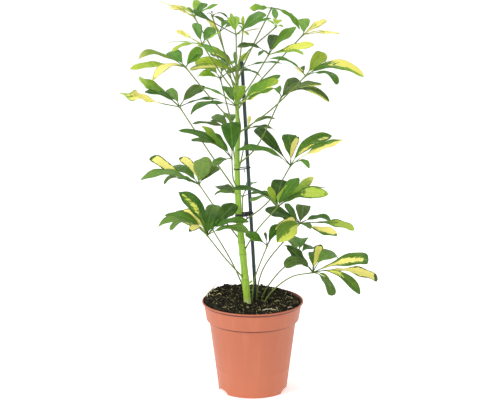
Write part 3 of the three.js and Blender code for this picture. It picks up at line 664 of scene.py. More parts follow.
blade(26, 45, 23, 32, "G", 1.05, 0.3, stalk=0.08)
blade(25, 10, 20, 10, "d", 0.7, 0.3)
leaf(20, (-28, 50, 537), 468)
blade(-68, 0, 14, 48, "i", 0.95, 0.4, 0.4, 0.1)
blade(-76, -35, 9, 16, "C", 0.6, 0.4)
blade(-43, 48, 20, 25, "c", 0.75, 0.8)
blade(-64, 20, 40, 22, "l", 0.5, 0.9, stalk=0.08)
blade(-2, 45, 24, 0, "u", 0.4, 0.3)
blade(22, 38, 24, 15, "y", 0.65, 0.3)
blade(77, 10, 11, -2, "g", 0.38, 0.6)
blade(43, 20, -16, 10, "d", 0.7, 0.8)
leaf(21, (84, 50, 599), 482, bend=(10, 2, 528))
blade(1, 35, 20, 5, "G", 1.5, 0.3, 0.7, 0.08)
blade(39, 25, 19, 25, "p", 0.75, 0.1, stalk=0.1)
blade(40, 42, -3, 0, "p", 0.3, 0.3)
blade(60, -10, 3, 15, "p", 0.45, 0.2)
leaf(22, (26, -30, 581), 492)
blade(-51, -25, 17, 20, "o", 0.7, 0.9)
blade(15, 50, 22, 8, "k", 1.25, 0.4, 0.3)
blade(45, 30, 40, 25, "G", 0.75, 0.3, wave=1.5)
blade(74, 5, 16, 28, "M", 0.62, 0.1, 0.1, 0.1)
blade(56, -40, 8, 14, "l", 0.5, 0.4, hook=0.04)
blade(-17, -45, 7, 5, "d", 0.5)
leaf(23, (-55, 62, 601), 500)
blade(-22, -10, 22, 50, "p", 1.5, 0.2, -0.6, 0.05)
blade(-14, -24, 3, 10, "l", 0.7)
blade(20, 50, 8, 5, "g")
blade(45, 25, 5, 5, "g")
leaf(24, (-82, -40, 600), 508)
blade(-11, 38, 28, 5, "g", 1, 0.3, 0.4)
blade(18, 50, 18, 28, "g", 1, 0.3)
blade(-43, 35, 16, 20, "p", 0.5, -0.1, stalk=0.4)
blade(-56, 25, -2, 0, "l", 0.32, 0.3)
blade(-48, -40, -4, 12, "y", 0.5, 0.6)
blade(16, -50, -5, 15, "g", 0.6, 0.6)
blade(30, 10, 19, 0, "l", 0.55, 0.2)
leaf(25, (38, 42, 613), 512, bend=(-20, 17, 560))
blade(10, 14, 9, 10, "y")
blade(-13, 8, 9, 10, "l")
blade(-2, 20, 10, 0, "y")
blade(12, -10, 2, 10, "l")
leaf(26, (-96, 20, 634), 519)
blade(-38, -30, 20, 34, "p", 1, 0.3)
blade(-58, 30, 21, -10, "p", 0.3, 0)
blade(-25, 55, 9, 0, "y", 0.32, 0.3)
blade(-17, 60, 4, 5, "e", 0.45, 0.4)
blade(5, 45, 20, 25, "l", 1, 0.3)
blade(39, -20, 24, 25, "G", 0.6, 0.3)
blade(20, 40, 15, 25, "g", 0.8, 0.3)
leaf(27, (-27, -45, 617), 523)
blade(-5, 45, 21, 5, "l", 1.2, 0.3, 0.6)
blade(46, 40, 28, 25, "g", 1, 0.1, 0.5)
blade(-71, 15, 37, 22, "d", 0.5, 0, 0.6, 0.5)
blade(57, 5, 26, 20, "g", 0.5, 0.3, stalk=0.05)
blade(-9, 50, 26, 0, "l", 0.35, 0.3)
blade(39, 20, 6, 5, "p", 0.4, 0.2)
leaf(28, (-67, 35, 633), 526)
blade(26, -10, -2, 10, "o", 0.5, 1.6)
blade(20, -15, -7, 25, "o", 0.8, 0.5)
blade(-2, 20, 3, 5, "g", 0.5)
blade(-8, 18, 0, 5, "d", 0.5)
leaf(29, (31, 20, 649), 529, bend=(-13, -3, 562))
blade(-36, 20, -3, 30, "n", 1, -0.1, wave=2)
blade(7, -38, -11, 10, "g", 0.75, 0.6)
blade(46, -5, -35, 22, "G", 0.68)
blade(38, 22, -19, 15, "l", 0.55, 0.5)
leaf(30, (-16, 10, 612), 538)
blade(9, -14, -4, 10, "y", 1, 0.5)
blade(-7, -10, 12, 0, "l", 0.8, 0.5)
blade(10, 10, 10, 10, "y", 0.8, 0.5)
blade(0, 14, 23, 0, "y", 0.6, 0.3)


def blade_width(place, blunt):
    """Share of the greatest half width, at a place from 0 to 1 along the blade."""
    place = min(max(place, 0.0), 1.0)
    widest = WIDEST_AT + 0.2 * blunt
    rise = (place / widest) ** TAPER
    fall = ((1 - place) / (1 - widest)) ** (TAPER * (1 - widest) / widest)
    return rise * fall


def eased(value, low, high):
    """Smooth change from 0 to 1 while the value goes from low to high."""
    share = min(1.0, max(0.0, (value - low) / (high - low)))
    return share * share * (3 - 2 * share)


def add_leaflet(skin, hub, leaflet, dice):
    chord = Vector((leaflet.dx, leaflet.dy, leaflet.dz))
    length = chord.length
    along = chord.normalized()
    side = along.cross(UP).normalized()
    upper = side.cross(along)
    front = -side if side.y > 0 else side
    lean = radians(leaflet.lean)
    face = upper * cos(lean) + front * sin(lean)
    bow = leaflet.sway + dice.uniform(-0.03, 0.03)
    middle = hub + chord * 0.5 + 2 * length * (BLADE_ARCH * leaflet.arch * upper + bow * along.cross(face))
    widest = BLADE_SLENDERNESS * length * leaflet.wide
    look = TONES[leaflet.look]
    seed = dice.uniform(0, 900)
    shade = dice.uniform(0.9, 1.1)
    wave_turns = dice.uniform(1.4, 2.4)
    phase = dice.uniform(0, WHOLE_TURN)
    wave_height = leaflet.wave * dice.uniform(0.08, 0.19) * widest
    quilting = 0.014 * widest
    cupping = RIM_RISE * dice.uniform(0.3, 2.0)
    slack = radians(dice.uniform(-18, 18))
    twist = radians(leaflet.twist)

    points, place, pattern, sector, tone, pale = [], [], [], [], [], []
    around = 2 * COLUMNS
    for i in range(STATIONS + 1):
        u = 1 - (1 - i / STATIONS) ** TIP_CROWDING
        v = (u - leaflet.stalk) / (1 - leaflet.stalk)
        centre = hub * (1 - u) ** 2 + middle * 2 * u * (1 - u) + (hub + chord) * u**2
        tangent = ((middle - hub) * (1 - u) + (hub + chord - middle) * u).normalized()
        normal = (face - tangent * face.dot(tangent)).normalized()
        onto = max(v, 0.0)
        late = max(0.0, (v - 0.3) / 0.7)
        centre = centre + normal * leaflet.hook * length * HOOK_SCALE * late * late * (1 - late)
        turned = slack * onto**1.3 + twist * eased(v, 0.5, 0.9)
        forward = tangent.cross(normal)
        if forward.dot(front) < 0:
            forward = -forward
        normal = normal * cos(turned) + forward * sin(turned)
        across = tangent.cross(normal)
        flat = eased(v, -0.05, 0.07)  # 0 on the stalk, 1 on the blade
        half = max(widest * blade_width(v, leaflet.blunt), 0.35 * (1 - flat) + 0.2)
        ending = 1 - onto**14
        blend = [(a + (b - a) * onto ** look.late) * shade for a, b in zip(look.near, look.far)]
        for k in range(around):
            top = k < COLUMNS
            step = k if top else around - 1 - k
            s = -1 + 2 * step / (COLUMNS - 1)
            s = copysign(abs(s) ** EDGE_CROWDING, s)
            lift = half * cupping * (1.7 * abs(s) - 0.7 * s * s) * ending
            lift += wave_height * s * abs(s) * sin(wave_turns * WHOLE_TURN * v + phase) * ending
            ripple = sin(SIDE_VEINS * WHOLE_TURN * (v - VEIN_SLANT * abs(s)))
            lift += quilting * ripple * min(1, 4 * abs(s)) * (1 - s**4)
            thick = BLADE_HALF_THICKNESS * (1 - 0.6 * s**6)
            if top:
                level = lift + thick - 0.25 * bell(s, 0.12)
            else:
                level = lift - thick - RIB_DEPTH * (1 - 0.8 * onto) * bell(s, 0.13)
            leafy = centre + across * (s * half) + normal * level
            angle = pi * (1 - (step + 0.5) / COLUMNS)
            turn = angle if top else -angle
            woody = centre + STALK_RADIUS * (across * cos(turn) + normal * sin(turn))
            points.append(woody.lerp(leafy, flat))
            place.append((s, v, seed))
            pattern.append((look.share, look.bias, 0.0 if top else 1.0))
            sector.append((look.side, look.edge, look.start))
            tone.append((*linear(*blend)[:3], flat))
            pale.append(linear(*look.pale))
    # The points run the other way round than a tube's, so each face is turned over
    faces = [(first, *reversed(rest)) for first, *rest in tube_faces(STATIONS + 1, around)]
    skin.add(points, faces, place=place, pattern=pattern, sector=sector, tone=tone, pale=pale)


STALK_TONE = linear(120, 144, 64)


def add_stalk(skin, points, faces):
    plain = dict(place=(0.5, 0.5, 0), pattern=(0, 0, 0), sector=(0, 0, 0))
    plain.update(tone=(*STALK_TONE[:3], 0), pale=STALK_TONE)
    skin.add(points, faces, **{name: [value] * len(points) for name, value in plain.items()})


def petiole_route(plan):
    if plan.foot:
        start = Vector((*plan.foot, ROOTED_AT))
        route = [start, Vector((*plan.foot, SOIL_EDGE + SOIL_CROWN))]
    else:
        start = stem_point(plan.height)
        route = [start]
    hub = Vector(plan.hub)
    return smooth_route([*route, plan.bend or start.lerp(hub, 0.5) - 3 * UP, hub], 10)


def make_leaf(plan, material):
    dice = random.Random(plan.name)
    skin = Skin()
    hub = Vector(plan.hub)
    route = petiole_route(plan)
    radii = []
    for share in shares(route):
        sheath = max(0.0, 1 - share / SHEATH_SHARE) ** 1.5
        swollen = 0.5 * bell(1 - share, 0.03)
        radii.append(PETIOLE_RADIUS - 0.2 * share + (SHEATH_RADIUS - PETIOLE_RADIUS) * sheath + swollen)
    add_stalk(skin, *tube(route, radii, PETIOLE_SIDES))
    add_stalk(skin, *ball(hub, HUB_RADIUS))
    for leaflet in plan.leaflets:
        add_leaflet(skin, hub, leaflet, dice)
    skin.build(plan.name.replace("leaf", "foliage"), material, "leaf", [plan.name])


# ---- stem, stake and ties

STEM_ROUTE = [
    (-6, -20, 105), (-8.5, -17, 152), (-12, -13, 190), (-15, -9, 224), (-19, -5, 262), (-23, -1, 309),
    (-25, 0, 350), (-26, 0, 395), (-24.5, 0, 445), (-26, 1, 490), (-26.5, 1, 515), (-25, 1, 540),
]
STEM_FOOT_RADIUS = 6.2
STEM_TOP_RADIUS = 2.6
STEM_FULLNESS = 1.7
JOINT_HEIGHTS = [196, 238, 258, 290, 341, 389, 443, 500]
JOINT_SWELL = 0.7
JOINT_REACH = 5
STEM_PORES = 150
STAKE_FOOT = Vector((8, 9, 105))
STAKE_TOP = Vector((-18, 8, 562))
STAKE_RADIUS = 3.2
STAKE_KNOTS = [212, 362, 505]
# Name, height, how many turns, and the radius of the wire
TIES = [("tie_upper", 382, 2, 0.45), ("tie_lower", 303, 4, 0.6)]

STEM_LINE = smooth_route(STEM_ROUTE, 16)


def stem_point(height):
    for low, high in zip(STEM_LINE, STEM_LINE[1:]):
        if high.z >= height:
            return low.lerp(high, (height - low.z) / (high.z - low.z))
    return STEM_LINE[-1].copy()


def stem_radius(height):
    share = (height - STEM_ROUTE[0][2]) / (STEM_ROUTE[-1][2] - STEM_ROUTE[0][2])
    taper = STEM_FOOT_RADIUS - (STEM_FOOT_RADIUS - STEM_TOP_RADIUS) * share**STEM_FULLNESS
    swell = max(bell(height - joint, JOINT_REACH) for joint in JOINT_HEIGHTS)
    return taper + JOINT_SWELL * swell


def stem_material():
    s = Shader("green_stem")
    height = s.parts(s.place())[2]
    colour = s.mix(s.step(height, 0.16, 0.56), (154, 196, 50), (130, 168, 60))
    streaks = s.noise((420, 420, 26), 1, 4)
    colour = s.tint(colour, streaks, 0.42, 0.75, 0.7, (98, 140, 38))
    flecks = s.noise((700, 700, 300), 1, 2)
    colour = s.tint(colour, flecks, 0.64, 0.72, 0.5, (206, 218, 130))
    skin = s.noise((260, 260, 120), 1, 4)
    bark = s.step(height, 0.152, 0.172, 1, 0) * s.step(skin, 0.4, 0.56)
    colour = s.mix(bark * 0.85, colour, (216, 220, 154))
    for joint in JOINT_HEIGHTS:
        ring = s.step(abs(height - joint * MM), 0.0003, 0.0016, 0.55, 0)
        colour = s.mix(ring, colour, (112, 128, 62))
    s.bump(streaks * 0.6 + flecks * 0.4, 0.4, 0.0008)
    return s.finish(colour, 0.42, 0.45)


def make_stem(material):
    skin = Skin()
    line = smooth_route(STEM_ROUTE, 22)
    dice = random.Random("stem")
    points, faces = tube(line, [stem_radius(p.z) for p in line], 24)
    moved = []
    for p in points:
        wobble = noise.noise(Vector((p.x * 0.25, p.y * 0.25, p.z * 0.05)))
        axis = stem_point(p.z)
        out = Vector((p.x - axis.x, p.y - axis.y, 0))
        moved.append(p + out * 0.06 * wobble)
    skin.add(moved, faces)
    # Small raised pores
    for _ in range(STEM_PORES):
        height = dice.uniform(160, 500)
        centre = stem_point(height) + polar(stem_radius(height) - 0.1, dice.uniform(0, 2 * pi))
        skin.add(*ball(centre, dice.uniform(0.3, 0.5), 4, 6, 1.8))
    # The stub of an old leaf stalk low on the right
    stub_foot = stem_point(188)
    stub = [stub_foot, stub_foot + Vector((8, -3, 3)), stub_foot + Vector((10.5, -4, 6))]
    skin.add(*tube(smooth_route(stub, 5), [2.4, 2.2, 2.0, 1.9, 1.8, 1.7, 1.7, 1.6, 1.6, 1.5, 1.2], 10))
    skin.build("stem_grown", material, "green_stem", ["stem"])


def stake_material():
    s = Shader("dark_stake")
    grain = s.noise((500, 500, 14), 1, 4)
    colour = s.mix(s.step(grain, 0.3, 0.7), (20, 44, 44), (34, 66, 62))
    scuffs = s.noise((200, 200, 60), 1, 5)
    colour = s.tint(colour, scuffs, 0.62, 0.75, 0.5, (72, 100, 92))
    s.bump(grain, 0.3, 0.0006)
    return s.finish(colour, 0.4, 0.5)


def make_stake(material):
    skin = Skin()
    route = [STAKE_FOOT.lerp(STAKE_TOP, share) for share in spread(0, 1, 120)]
    radii = [STAKE_RADIUS - 0.25 + 0.3 * max(bell(p.z - knot, 2.2) for knot in STAKE_KNOTS) for p in route]
    radii[-1] *= 0.82
    skin.add(*tube(route, radii, 20))
    skin.build("stake_rod", material, "stake_plastic", ["stake"])


def tie_material():
    s = Shader("dark_tie")
    grain = s.noise((1, 1, 1), 900, 3)
    colour = s.mix(grain, (24, 26, 28), (52, 56, 58))
    s.bump(grain, 0.3, 0.0003)
    return s.finish(colour, 0.5)


def make_tie(material, name, height, turns, wire):
    """A wire wound round the stem and the stake, with its ends twisted together."""
    skin = Skin()
    stem = stem_point(height)
    stake = STAKE_FOOT.lerp(STAKE_TOP, (height - STAKE_FOOT.z) / (STAKE_TOP.z - STAKE_FOOT.z))
    across = stake - stem
    heading = atan2(across.y, across.x)
    stem_reach, stake_reach = stem_radius(height) + wire + 0.4, STAKE_RADIUS + wire + 0.3
    lean = acos((stem_reach - stake_reach) / hypot(across.x, across.y))
    loop = [stem + polar(stem_reach, heading + turn) for turn in spread(lean, 2 * pi - lean, 16)]
    loop += [stake + polar(stake_reach, heading + turn) for turn in spread(-lean, lean, 12)]
    total = turns * len(loop)
    rise = wire * 2.1 * turns
    route = []
    for i in range(total + 1):
        p = loop[i % len(loop)]
        route.append(Vector((p.x, p.y, height + (i / total - 0.5) * rise)))
    skin.add(*tube(route, [wire] * len(route), 8))
    # The twisted ends stick out toward the front between stem and stake
    knot = Vector(((stem.x + stake.x) / 2 + 2, min(stem.y, stake.y) - stem_reach * 0.4, height))
    for start in (0, pi):
        twisted = []
        for t in spread(0, 1, 24):
            turn = start + t * 9
            off = Vector((cos(turn), 0, sin(turn))) * wire * 1.1
            twisted.append(knot + Vector((2 * t, -9 * t + 5, -4 * t)) + off)
        skin.add(*tube(twisted, [wire] * len(twisted), 8))
    skin.build(name + "_wire", material, "tie_plastic", [name])


# ---- pot

POT_HEIGHT = 155
RIM_RADIUS = 85
LIP_HEIGHT = 3
LIP_WIDTH = 2.4
BAND_TOP_RADIUS = 82.3
BAND_LOW_RADIUS = 77.6
BAND_FOOT = 124
STEP_DROP = 3
CONE_TOP_RADIUS = 72.8
FOOT_RADIUS = 57
POT_WALL = 1.6
FLOOR_UNDERSIDE = 7.5
FLOOR_THICKNESS = 2
NOTCH_HEIGHT = 6.5
NOTCH_WIDTH = 37
NOTCH_BEARINGS = [-66, 74, 184]
DRAIN_COUNT = 5
DRAIN_RADIUS = 4.5
DRAIN_CIRCLE = 33
POT_SEGMENTS = 288
CONE_TOP = BAND_FOOT - STEP_DROP
LIP_FOOT = POT_HEIGHT - LIP_HEIGHT
GRIME_UNDER_LIP = 151.3  # height of the painted shade line under the lip
GRIME_UNDER_BAND = 121.5


def pot_outer_radius(height):
    return FOOT_RADIUS + (CONE_TOP_RADIUS - FOOT_RADIUS) * height / CONE_TOP


def cone_points(*heights, out=0.0):
    """Points (r, z) on the cone's outside, or that far out from it."""
    return [(pot_outer_radius(min(height, CONE_TOP)) + out, height) for height in heights]


def band_points(*shares, out=0.0, foot=BAND_FOOT):
    """Points (r, z) on the band's outside, or that far out, at shares of its height above its foot."""
    wider, rise = BAND_TOP_RADIUS - BAND_LOW_RADIUS, LIP_FOOT - BAND_FOOT
    return [(BAND_LOW_RADIUS + wider * share + out, foot + rise * share) for share in shares]


def arc(centre, radius, start, end, steps):
    """Points (r, z) on a round stretch of a profile, angles in degrees."""
    turns = [radians(turn) for turn in spread(start, end, steps)]
    return [(centre[0] + radius * cos(turn), centre[1] + radius * sin(turn)) for turn in turns]


def pot_profile():
    """The pot's section, from the middle of the floor's underside round to the middle of its top."""
    lip = LIP_WIDTH / 2
    wall = POT_WALL
    foot_inside = FOOT_RADIUS - wall
    band_inside = BAND_TOP_RADIUS - wall
    floor = FLOOR_UNDERSIDE + FLOOR_THICKNESS
    return [
        (0, FLOOR_UNDERSIDE), (20, FLOOR_UNDERSIDE), (pot_outer_radius(8) - 6, FLOOR_UNDERSIDE),
        *arc((pot_outer_radius(7) - wall - 1.2, FLOOR_UNDERSIDE - 1.2), 1.2, 90, 0, 4),
        (foot_inside + 0.35, 3.5), (foot_inside + 0.1, 1.2),
        *arc((foot_inside + wall / 2, wall / 2), wall / 2 + 0.05, 200, 350, 6),
        *cone_points(2.5, 4.5, 7, 10, 16, 24, 32, 38.6),
        *cone_points(39.4, 40.4, out=0.25),
        *cone_points(41.2, 52, 66, 80, 94, 106, CONE_TOP - 1.6),
        (CONE_TOP_RADIUS + 0.1, CONE_TOP - 0.5), (CONE_TOP_RADIUS + 0.9, CONE_TOP + 0.6),
        (BAND_LOW_RADIUS - 1.3, BAND_FOOT - 1.7),
        *arc((BAND_LOW_RADIUS - 0.9, BAND_FOOT), 0.9, -60, 0, 4),
        *band_points(0.08, 0.3, 0.55, 0.8, 0.97),
        *arc((RIM_RADIUS - 0.7, LIP_FOOT + 0.7), 0.7, -90, -10, 5),
        *arc((RIM_RADIUS - lip, POT_HEIGHT - lip), lip, 0, 160, 12),
        (band_inside + 1.2, LIP_FOOT + 1), (band_inside, LIP_FOOT - 0.5),
        *band_points(0.75, 0.5, 0.25, 0.0, out=-wall, foot=BAND_FOOT + wall),
        *cone_points(CONE_TOP + wall, 90, 60, 30, floor + 1.5, out=-wall),
        (pot_outer_radius(floor) - wall - 1.5, floor), (20, floor), (0, floor),
    ]


def notch_level(bearing):
    """Height of the foot's lower edge at a bearing in degrees from the front toward the right."""
    level = 0.0
    for notch in NOTCH_BEARINGS:
        off = abs((bearing - notch + 180) % 360 - 180)
        reach = radians(off) * FOOT_RADIUS / (NOTCH_WIDTH / 2)
        if reach < 1:
            level = NOTCH_HEIGHT * (1 - reach**5)
    return level


def turned(outline, segments, shape=None):
    """A closed mesh turned from a profile whose first and last points lie on the axis."""
    points = [Vector((0, 0, outline[0][1]))]
    for r, z in outline[1:-1]:
        for k in range(segments):
            turn = 2 * pi * k / segments
            p = polar(r, turn - pi / 2, z)
            points.append(shape(p, degrees(turn)) if shape else p)
    points.append(Vector((0, 0, outline[-1][1])))
    return points, round_faces(len(outline) - 2, segments)


def pot_material():
    s = Shader("terracotta_plastic")
    place = s.place()
    x, y, height = s.parts(place)
    cloud = s.noise((14, 14, 9), 1, 3)
    colour = s.mix(cloud, (181, 98, 67), (191, 107, 75))
    flow = s.noise((60, 60, 6), 1, 3)
    colour = s.tint(colour, flow, 0.45, 0.8, 0.22, (208, 132, 100))
    # Painted light: the pot lighter towards the bottom, where the white floor's bounce lights it
    faded = s.step(height, 0.0, 0.1, 0.5, 0)
    colour = s.mix(faded, colour, (208, 122, 88))
    scratch = s.noise((240, 240, 900), 1, 2, 0.5, 0.6)
    marks = s.noise((30, 30, 50), 1, 3)
    scuffs = s.step(scratch, 0.66, 0.74) * s.step(marks, 0.56, 0.7)
    colour = s.mix(scuffs * 0.3, colour, (240, 190, 165))
    # Painted shade: dark lines just under the lip and under the band's foot, where their overhangs shade the
    # wall, fainter in places
    under_lip = s.step(abs(height - GRIME_UNDER_LIP * MM), 0.0006, 0.002, 0.95, 0)
    under_band = s.step(abs(height - GRIME_UNDER_BAND * MM), 0.0006, 0.0022, 0.95, 0)
    grime = s.math("MULTIPLY", under_lip + under_band, s.step(flow, 0.1, 0.45, 0.5, 1), clamp=True)
    colour = s.mix(grime, colour, (82, 30, 18))
    # Painted shade: the inner wall above the soil darkened, as the rim keeps the light off it
    reach = s.math("SQRT", x * x + y * y)
    inside = s.step(reach, 0.0822, 0.0831, 1, 0) * s.step(height, 0.1485, 0.15)
    colour = s.mix(inside * 0.85, colour, (104, 46, 32))
    pebble = s.noise(place, 1500, 2)
    rough = s.step(cloud, 0.3, 0.7, 0.42, 0.52) + scuffs * 0.15
    s.bump(pebble * 0.3 + flow * 0.7, 0.25, 0.0005)
    return s.finish(colour, rough, Subsurface_Weight=0.12, Subsurface_Scale=1.0,
                    Subsurface_Radius=(0.006, 0.002, 0.001))


def make_pot(material):
    def foot(p, bearing):
        if p.z < FLOOR_UNDERSIDE - 0.5 and hypot(p.x, p.y) > FOOT_RADIUS - 2.5:
            raised = max(p.z, notch_level(bearing))
            return Vector((p.x, p.y, min(raised, FLOOR_UNDERSIDE - 0.6) if p.z < raised else p.z))
        return p

    skin = Skin()
    skin.add(*turned(pot_profile(), POT_SEGMENTS, foot))
    pot = skin.build("pot_shell", material, "terracotta_plastic", ["pot"])
    holes = Skin()
    for i in range(DRAIN_COUNT):
        angle = 2 * pi * (i + 0.5) / DRAIN_COUNT
        foot_point = polar(DRAIN_CIRCLE, angle, 2)
        holes.add(*tube([foot_point, foot_point + UP * 12], [DRAIN_RADIUS] * 2, 24))
    cutter = new_object("drains", holes.mesh("drains"))
    drill = pot.modifiers.new("drains", "BOOLEAN")
    drill.operation = "DIFFERENCE"
    drill.object = cutter
    drill.solver = "EXACT"
    bpy.context.view_layer.update()
    drilled = bpy.data.meshes.new_from_object(pot.evaluated_get(bpy.context.evaluated_depsgraph_get()))
    pot.modifiers.clear()
    pot.data = drilled
    drilled.polygons.foreach_set("use_smooth", [True] * len(drilled.polygons))
    drilled.set_sharp_from_angle(angle=radians(50))
    bpy.data.objects.remove(cutter)


# ---- soil

SOIL_FALL = 0.02
SOIL_HEAP = 9  # how much higher it is heaped at the back and at the left
HEAP_EDGE = 24  # how abruptly the heap ends at the wall
SOIL_LUMP = 1.2
SOIL_WALL_GAP = 0.3
SOIL_RINGS = 84
SOIL_SEGMENTS = 260


def soil_height(x, y):
    share = min(1.0, hypot(x, y) / BAND_TOP_RADIUS)
    heap = SOIL_HEAP * (max(0.0, y) + max(0.0, -x)) / RIM_RADIUS * (1 - share**HEAP_EDGE)
    crown = SOIL_CROWN * (1 - share**6) - SOIL_FALL * x + heap
    lumps = sin(0.21 * x + 1.3) * cos(0.17 * y - 0.4)
    return SOIL_EDGE + crown + SOIL_LUMP * (lumps + 0.6 * sin(0.39 * y - 0.33 * x))


def fine_soil_height(x, y):
    place = Vector((x, y, 7))
    clods = noise.turbulence(place * 0.16, 4, False)
    grit = noise.noise(place * 0.9)
    edge = min(1.0, max(0.0, (80 - hypot(x, y)) / 6))
    return soil_height(x, y) + edge * (2.6 * clods - 0.6) + 0.7 * grit


def soil_material():
    s = Shader("potting_soil")
    place = s.place()
    clods = s.noise(place, 120, 5, 0.6)
    colour = s.mix(s.step(clods, 0.35, 0.68), (15, 14, 9), (52, 49, 31))
    grit = s.noise(place, 620, 3, 0.6)
    colour = s.tint(colour, grit, 0.6, 0.68, 0.7, (92, 90, 58))
    shade = s.noise(place, 60, 3)
    colour = s.mix(s.step(shade, 0.42, 0.56, 0.75, 0), colour, (10, 9, 6))
    specks = s.noise(place, 900, 2)
    colour = s.tint(colour, specks, 0.7, 0.76, 0.85, (170, 160, 120))
    s.bump(clods + grit, 0.9, 0.002)
    return s.finish(colour, 0.92, 0.25)


def crumb_material(name, dark, light):
    s = Shader(name)
    grain = s.noise((1, 1, 1), 420, 4)
    colour = s.mix(s.step(grain, 0.35, 0.7), dark, light)
    s.bump(grain, 0.6, 0.001)
    return s.finish(colour, 0.88, 0.25)


# Shade, how many, least and greatest size, darkest and lightest colour
CRUMBS = [
    ("dark", 520, 0.7, 2.6, (20, 18, 12), (50, 44, 28)),
    ("brown", 220, 0.5, 1.9, (60, 48, 28), (110, 92, 56)),
    ("pale", 110, 0.35, 1.1, (120, 108, 70), (176, 164, 122)),
]


def clear_of_stems(x, y, room):
    feet = [(-8.5, -17, 7), (6, 9, 4), (20, -12, 3), (15, 6, 3), (-1, -12, 3), (6, -3, 3)]
    return all(hypot(x - fx, y - fy) > reach + room for fx, fy, reach in feet)


def make_soil(material):
    wall = BAND_TOP_RADIUS - POT_WALL - SOIL_WALL_GAP
    floor = FLOOR_UNDERSIDE + FLOOR_THICKNESS + SOIL_WALL_GAP
    inset = POT_WALL + SOIL_WALL_GAP
    outline = [(0, floor), (30, floor), (pot_outer_radius(floor) - inset, floor)]
    outline += [(CONE_TOP_RADIUS - inset, CONE_TOP), (BAND_LOW_RADIUS - inset, BAND_FOOT + POT_WALL)]
    outline.append((wall - 0.3, SOIL_EDGE - 3.5))
    outline += [(wall * (1 - i / SOIL_RINGS) - 0.1, POT_HEIGHT) for i in range(SOIL_RINGS)]
    outline.append((0, POT_HEIGHT))
    points, faces = turned(outline, SOIL_SEGMENTS)
    for p in points:
        if p.z > POT_HEIGHT - 0.5:
            p.z = fine_soil_height(p.x, p.y)
    skin = Skin()
    skin.add(points, faces)
    skin.build("soil_bed", material, "potting_soil", ["soil"])


def chunk(centre, size, dice):
    """An angular crumb: a ball pulled out of round."""
    points, faces = ball(Vector((0, 0, 0)), 1, 4, 6)
    turn = dice.uniform(0, WHOLE_TURN)
    turn = Matrix.Rotation(turn, 3, Vector((dice.random(), dice.random(), 1)).normalized())
    stretch = Vector((dice.uniform(0.7, 1.5), dice.uniform(0.6, 1.1), 0.7 * dice.uniform(0.6, 1.1)))
    offset = Vector((dice.uniform(0, 99), 0, 0))
    moved = []
    for p in points:
        bumpy = 1 + 0.35 * noise.noise(p * 1.3 + offset)
        moved.append(centre + turn @ (p * stretch) * size * bumpy)
    return moved, faces


def random_place(dice, far):
    """A place on the soil, up to that far from the middle, and its bearing in radians."""
    reach, turn = far * sqrt(dice.random()), dice.uniform(0, 2 * pi)
    return reach * cos(turn), reach * sin(turn), turn


def scatter_crumbs(shade, count, small, large, dark, light):
    dice = random.Random(shade)
    skin = Skin()
    made = 0
    while made < count:
        x, y, _ = random_place(dice, 76)
        size = small + (large - small) * dice.random() ** 3
        if not clear_of_stems(x, y, size):
            continue
        skin.add(*chunk(Vector((x, y, fine_soil_height(x, y) + 0.2 * size)), size, dice))
        made += 1
    piece = skin.build(f"soil_crumbs_{shade}", crumb_material(f"{shade}_crumb", dark, light), "potting_soil")
    piece.data.polygons.foreach_set("use_smooth", [False] * len(piece.data.polygons))


LONG_STRAWS = [
    (-66, 26, 3, 0.2, 11), (-64, 29, 3, 0.5, 10), (-70, 24, 4, 0.8, 4), (-74, 12, 4, 1.8, 3),
    (-76, 4, 4, 1.5, 2), (-75, 16, 3, 1.2, 4), (-71, 20, 3, 2.2, 3), (26, -52, 6, 0.2, 0),
    (34, -50, 5, 2.8, 0), (20, -56, 5, 0.1, 0), (62, -38, 6, 0.9, 0),
]
FEW_STRAWS = 36
NEEDLES = 420


def short_needles(dice, count):
    for _ in range(count):
        x, y, turn = random_place(dice, 77)
        yield x, y, dice.uniform(0.5, 1.2), 2 * turn, 0


def few_straws(dice, count):
    for _ in range(count):
        x, y, _ = random_place(dice, 75)
        yield x, y, dice.uniform(1.5, 4), dice.uniform(0, pi), 0


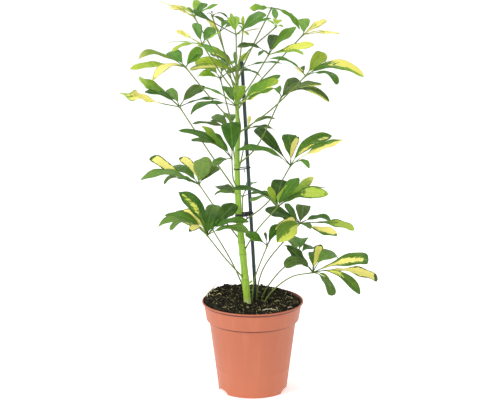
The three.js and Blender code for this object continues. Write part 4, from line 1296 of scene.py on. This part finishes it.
def lay_fibres(name, material, wanted, dice):
    """Straws on the soil, each given by its middle, half its length, its bearing in radians and how
    far its outer end is raised."""
    skin = Skin()
    for x, y, half, turn, raised in wanted:
        if not clear_of_stems(x, y, half):
            continue
        step = polar(half, turn)
        bow = dice.uniform(-0.35, 0.35)
        route = []
        for i in range(7):
            t = i / 3 - 1
            p = Vector((x, y, 0)) + step * t + Vector((-step.y, step.x, 0)) * bow * (1 - t * t)
            level = fine_soil_height(p.x, p.y) + 0.5 + 0.5 * (1 - t * t) + raised * (t + 1) / 2
            route.append(Vector((p.x, p.y, level)))
        thick = dice.uniform(0.6, 0.9) if half > 3.9 else dice.uniform(0.08, 0.2) * (half + 1)
        skin.add(*tube(route, [thick * (0.5 if i in (0, 6) else 1) for i in range(7)], 6))
    skin.build(name, material, "potting_soil")


# ---- floor

FLOOR_HALF_SIDE = 14000


def make_floor():
    s = Shader("pale_floor")
    grain = s.noise((1, 1, 1), 3, 3)
    colour = s.mix(grain, (0.93, 0.93, 0.93, 1), (0.95, 0.95, 0.95, 1))
    material = s.finish(colour, 0.9, 0.1, Emission_Color=(1, 1, 1, 1), Emission_Strength=0.45)
    square = Skin()
    square.add([polar(FLOOR_HALF_SIDE * sqrt(2), (k + 0.5) * pi / 2) for k in range(4)], [(0, 1, 2, 3)])
    floor = new_object("floor", square.mesh("floor"))
    floor.data.materials.append(material)
    floor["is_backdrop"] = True


# ---- assembly

make_camera()
make_lights()
make_floor()
make_pot(pot_material())
make_soil(soil_material())
for crumbs in CRUMBS:
    scatter_crumbs(*crumbs)
fibre_dice = random.Random("fibres")
lay_fibres("soil_straws", crumb_material("pale_straw", (214, 204, 164), (250, 242, 214)),
           LONG_STRAWS, fibre_dice)
lay_fibres("soil_fibres", crumb_material("straw", (170, 156, 100), (222, 208, 150)),
           [*few_straws(fibre_dice, FEW_STRAWS), *short_needles(fibre_dice, NEEDLES)], fibre_dice)
make_stem(stem_material())
make_stake(stake_material())
wire_material = tie_material()
for tie in TIES:
    make_tie(wire_material, *tie)
leaf_skin = leaf_material()
for leaf_plan in LEAVES:
    make_leaf(leaf_plan, leaf_skin)

# ---- sizes

looks_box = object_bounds()
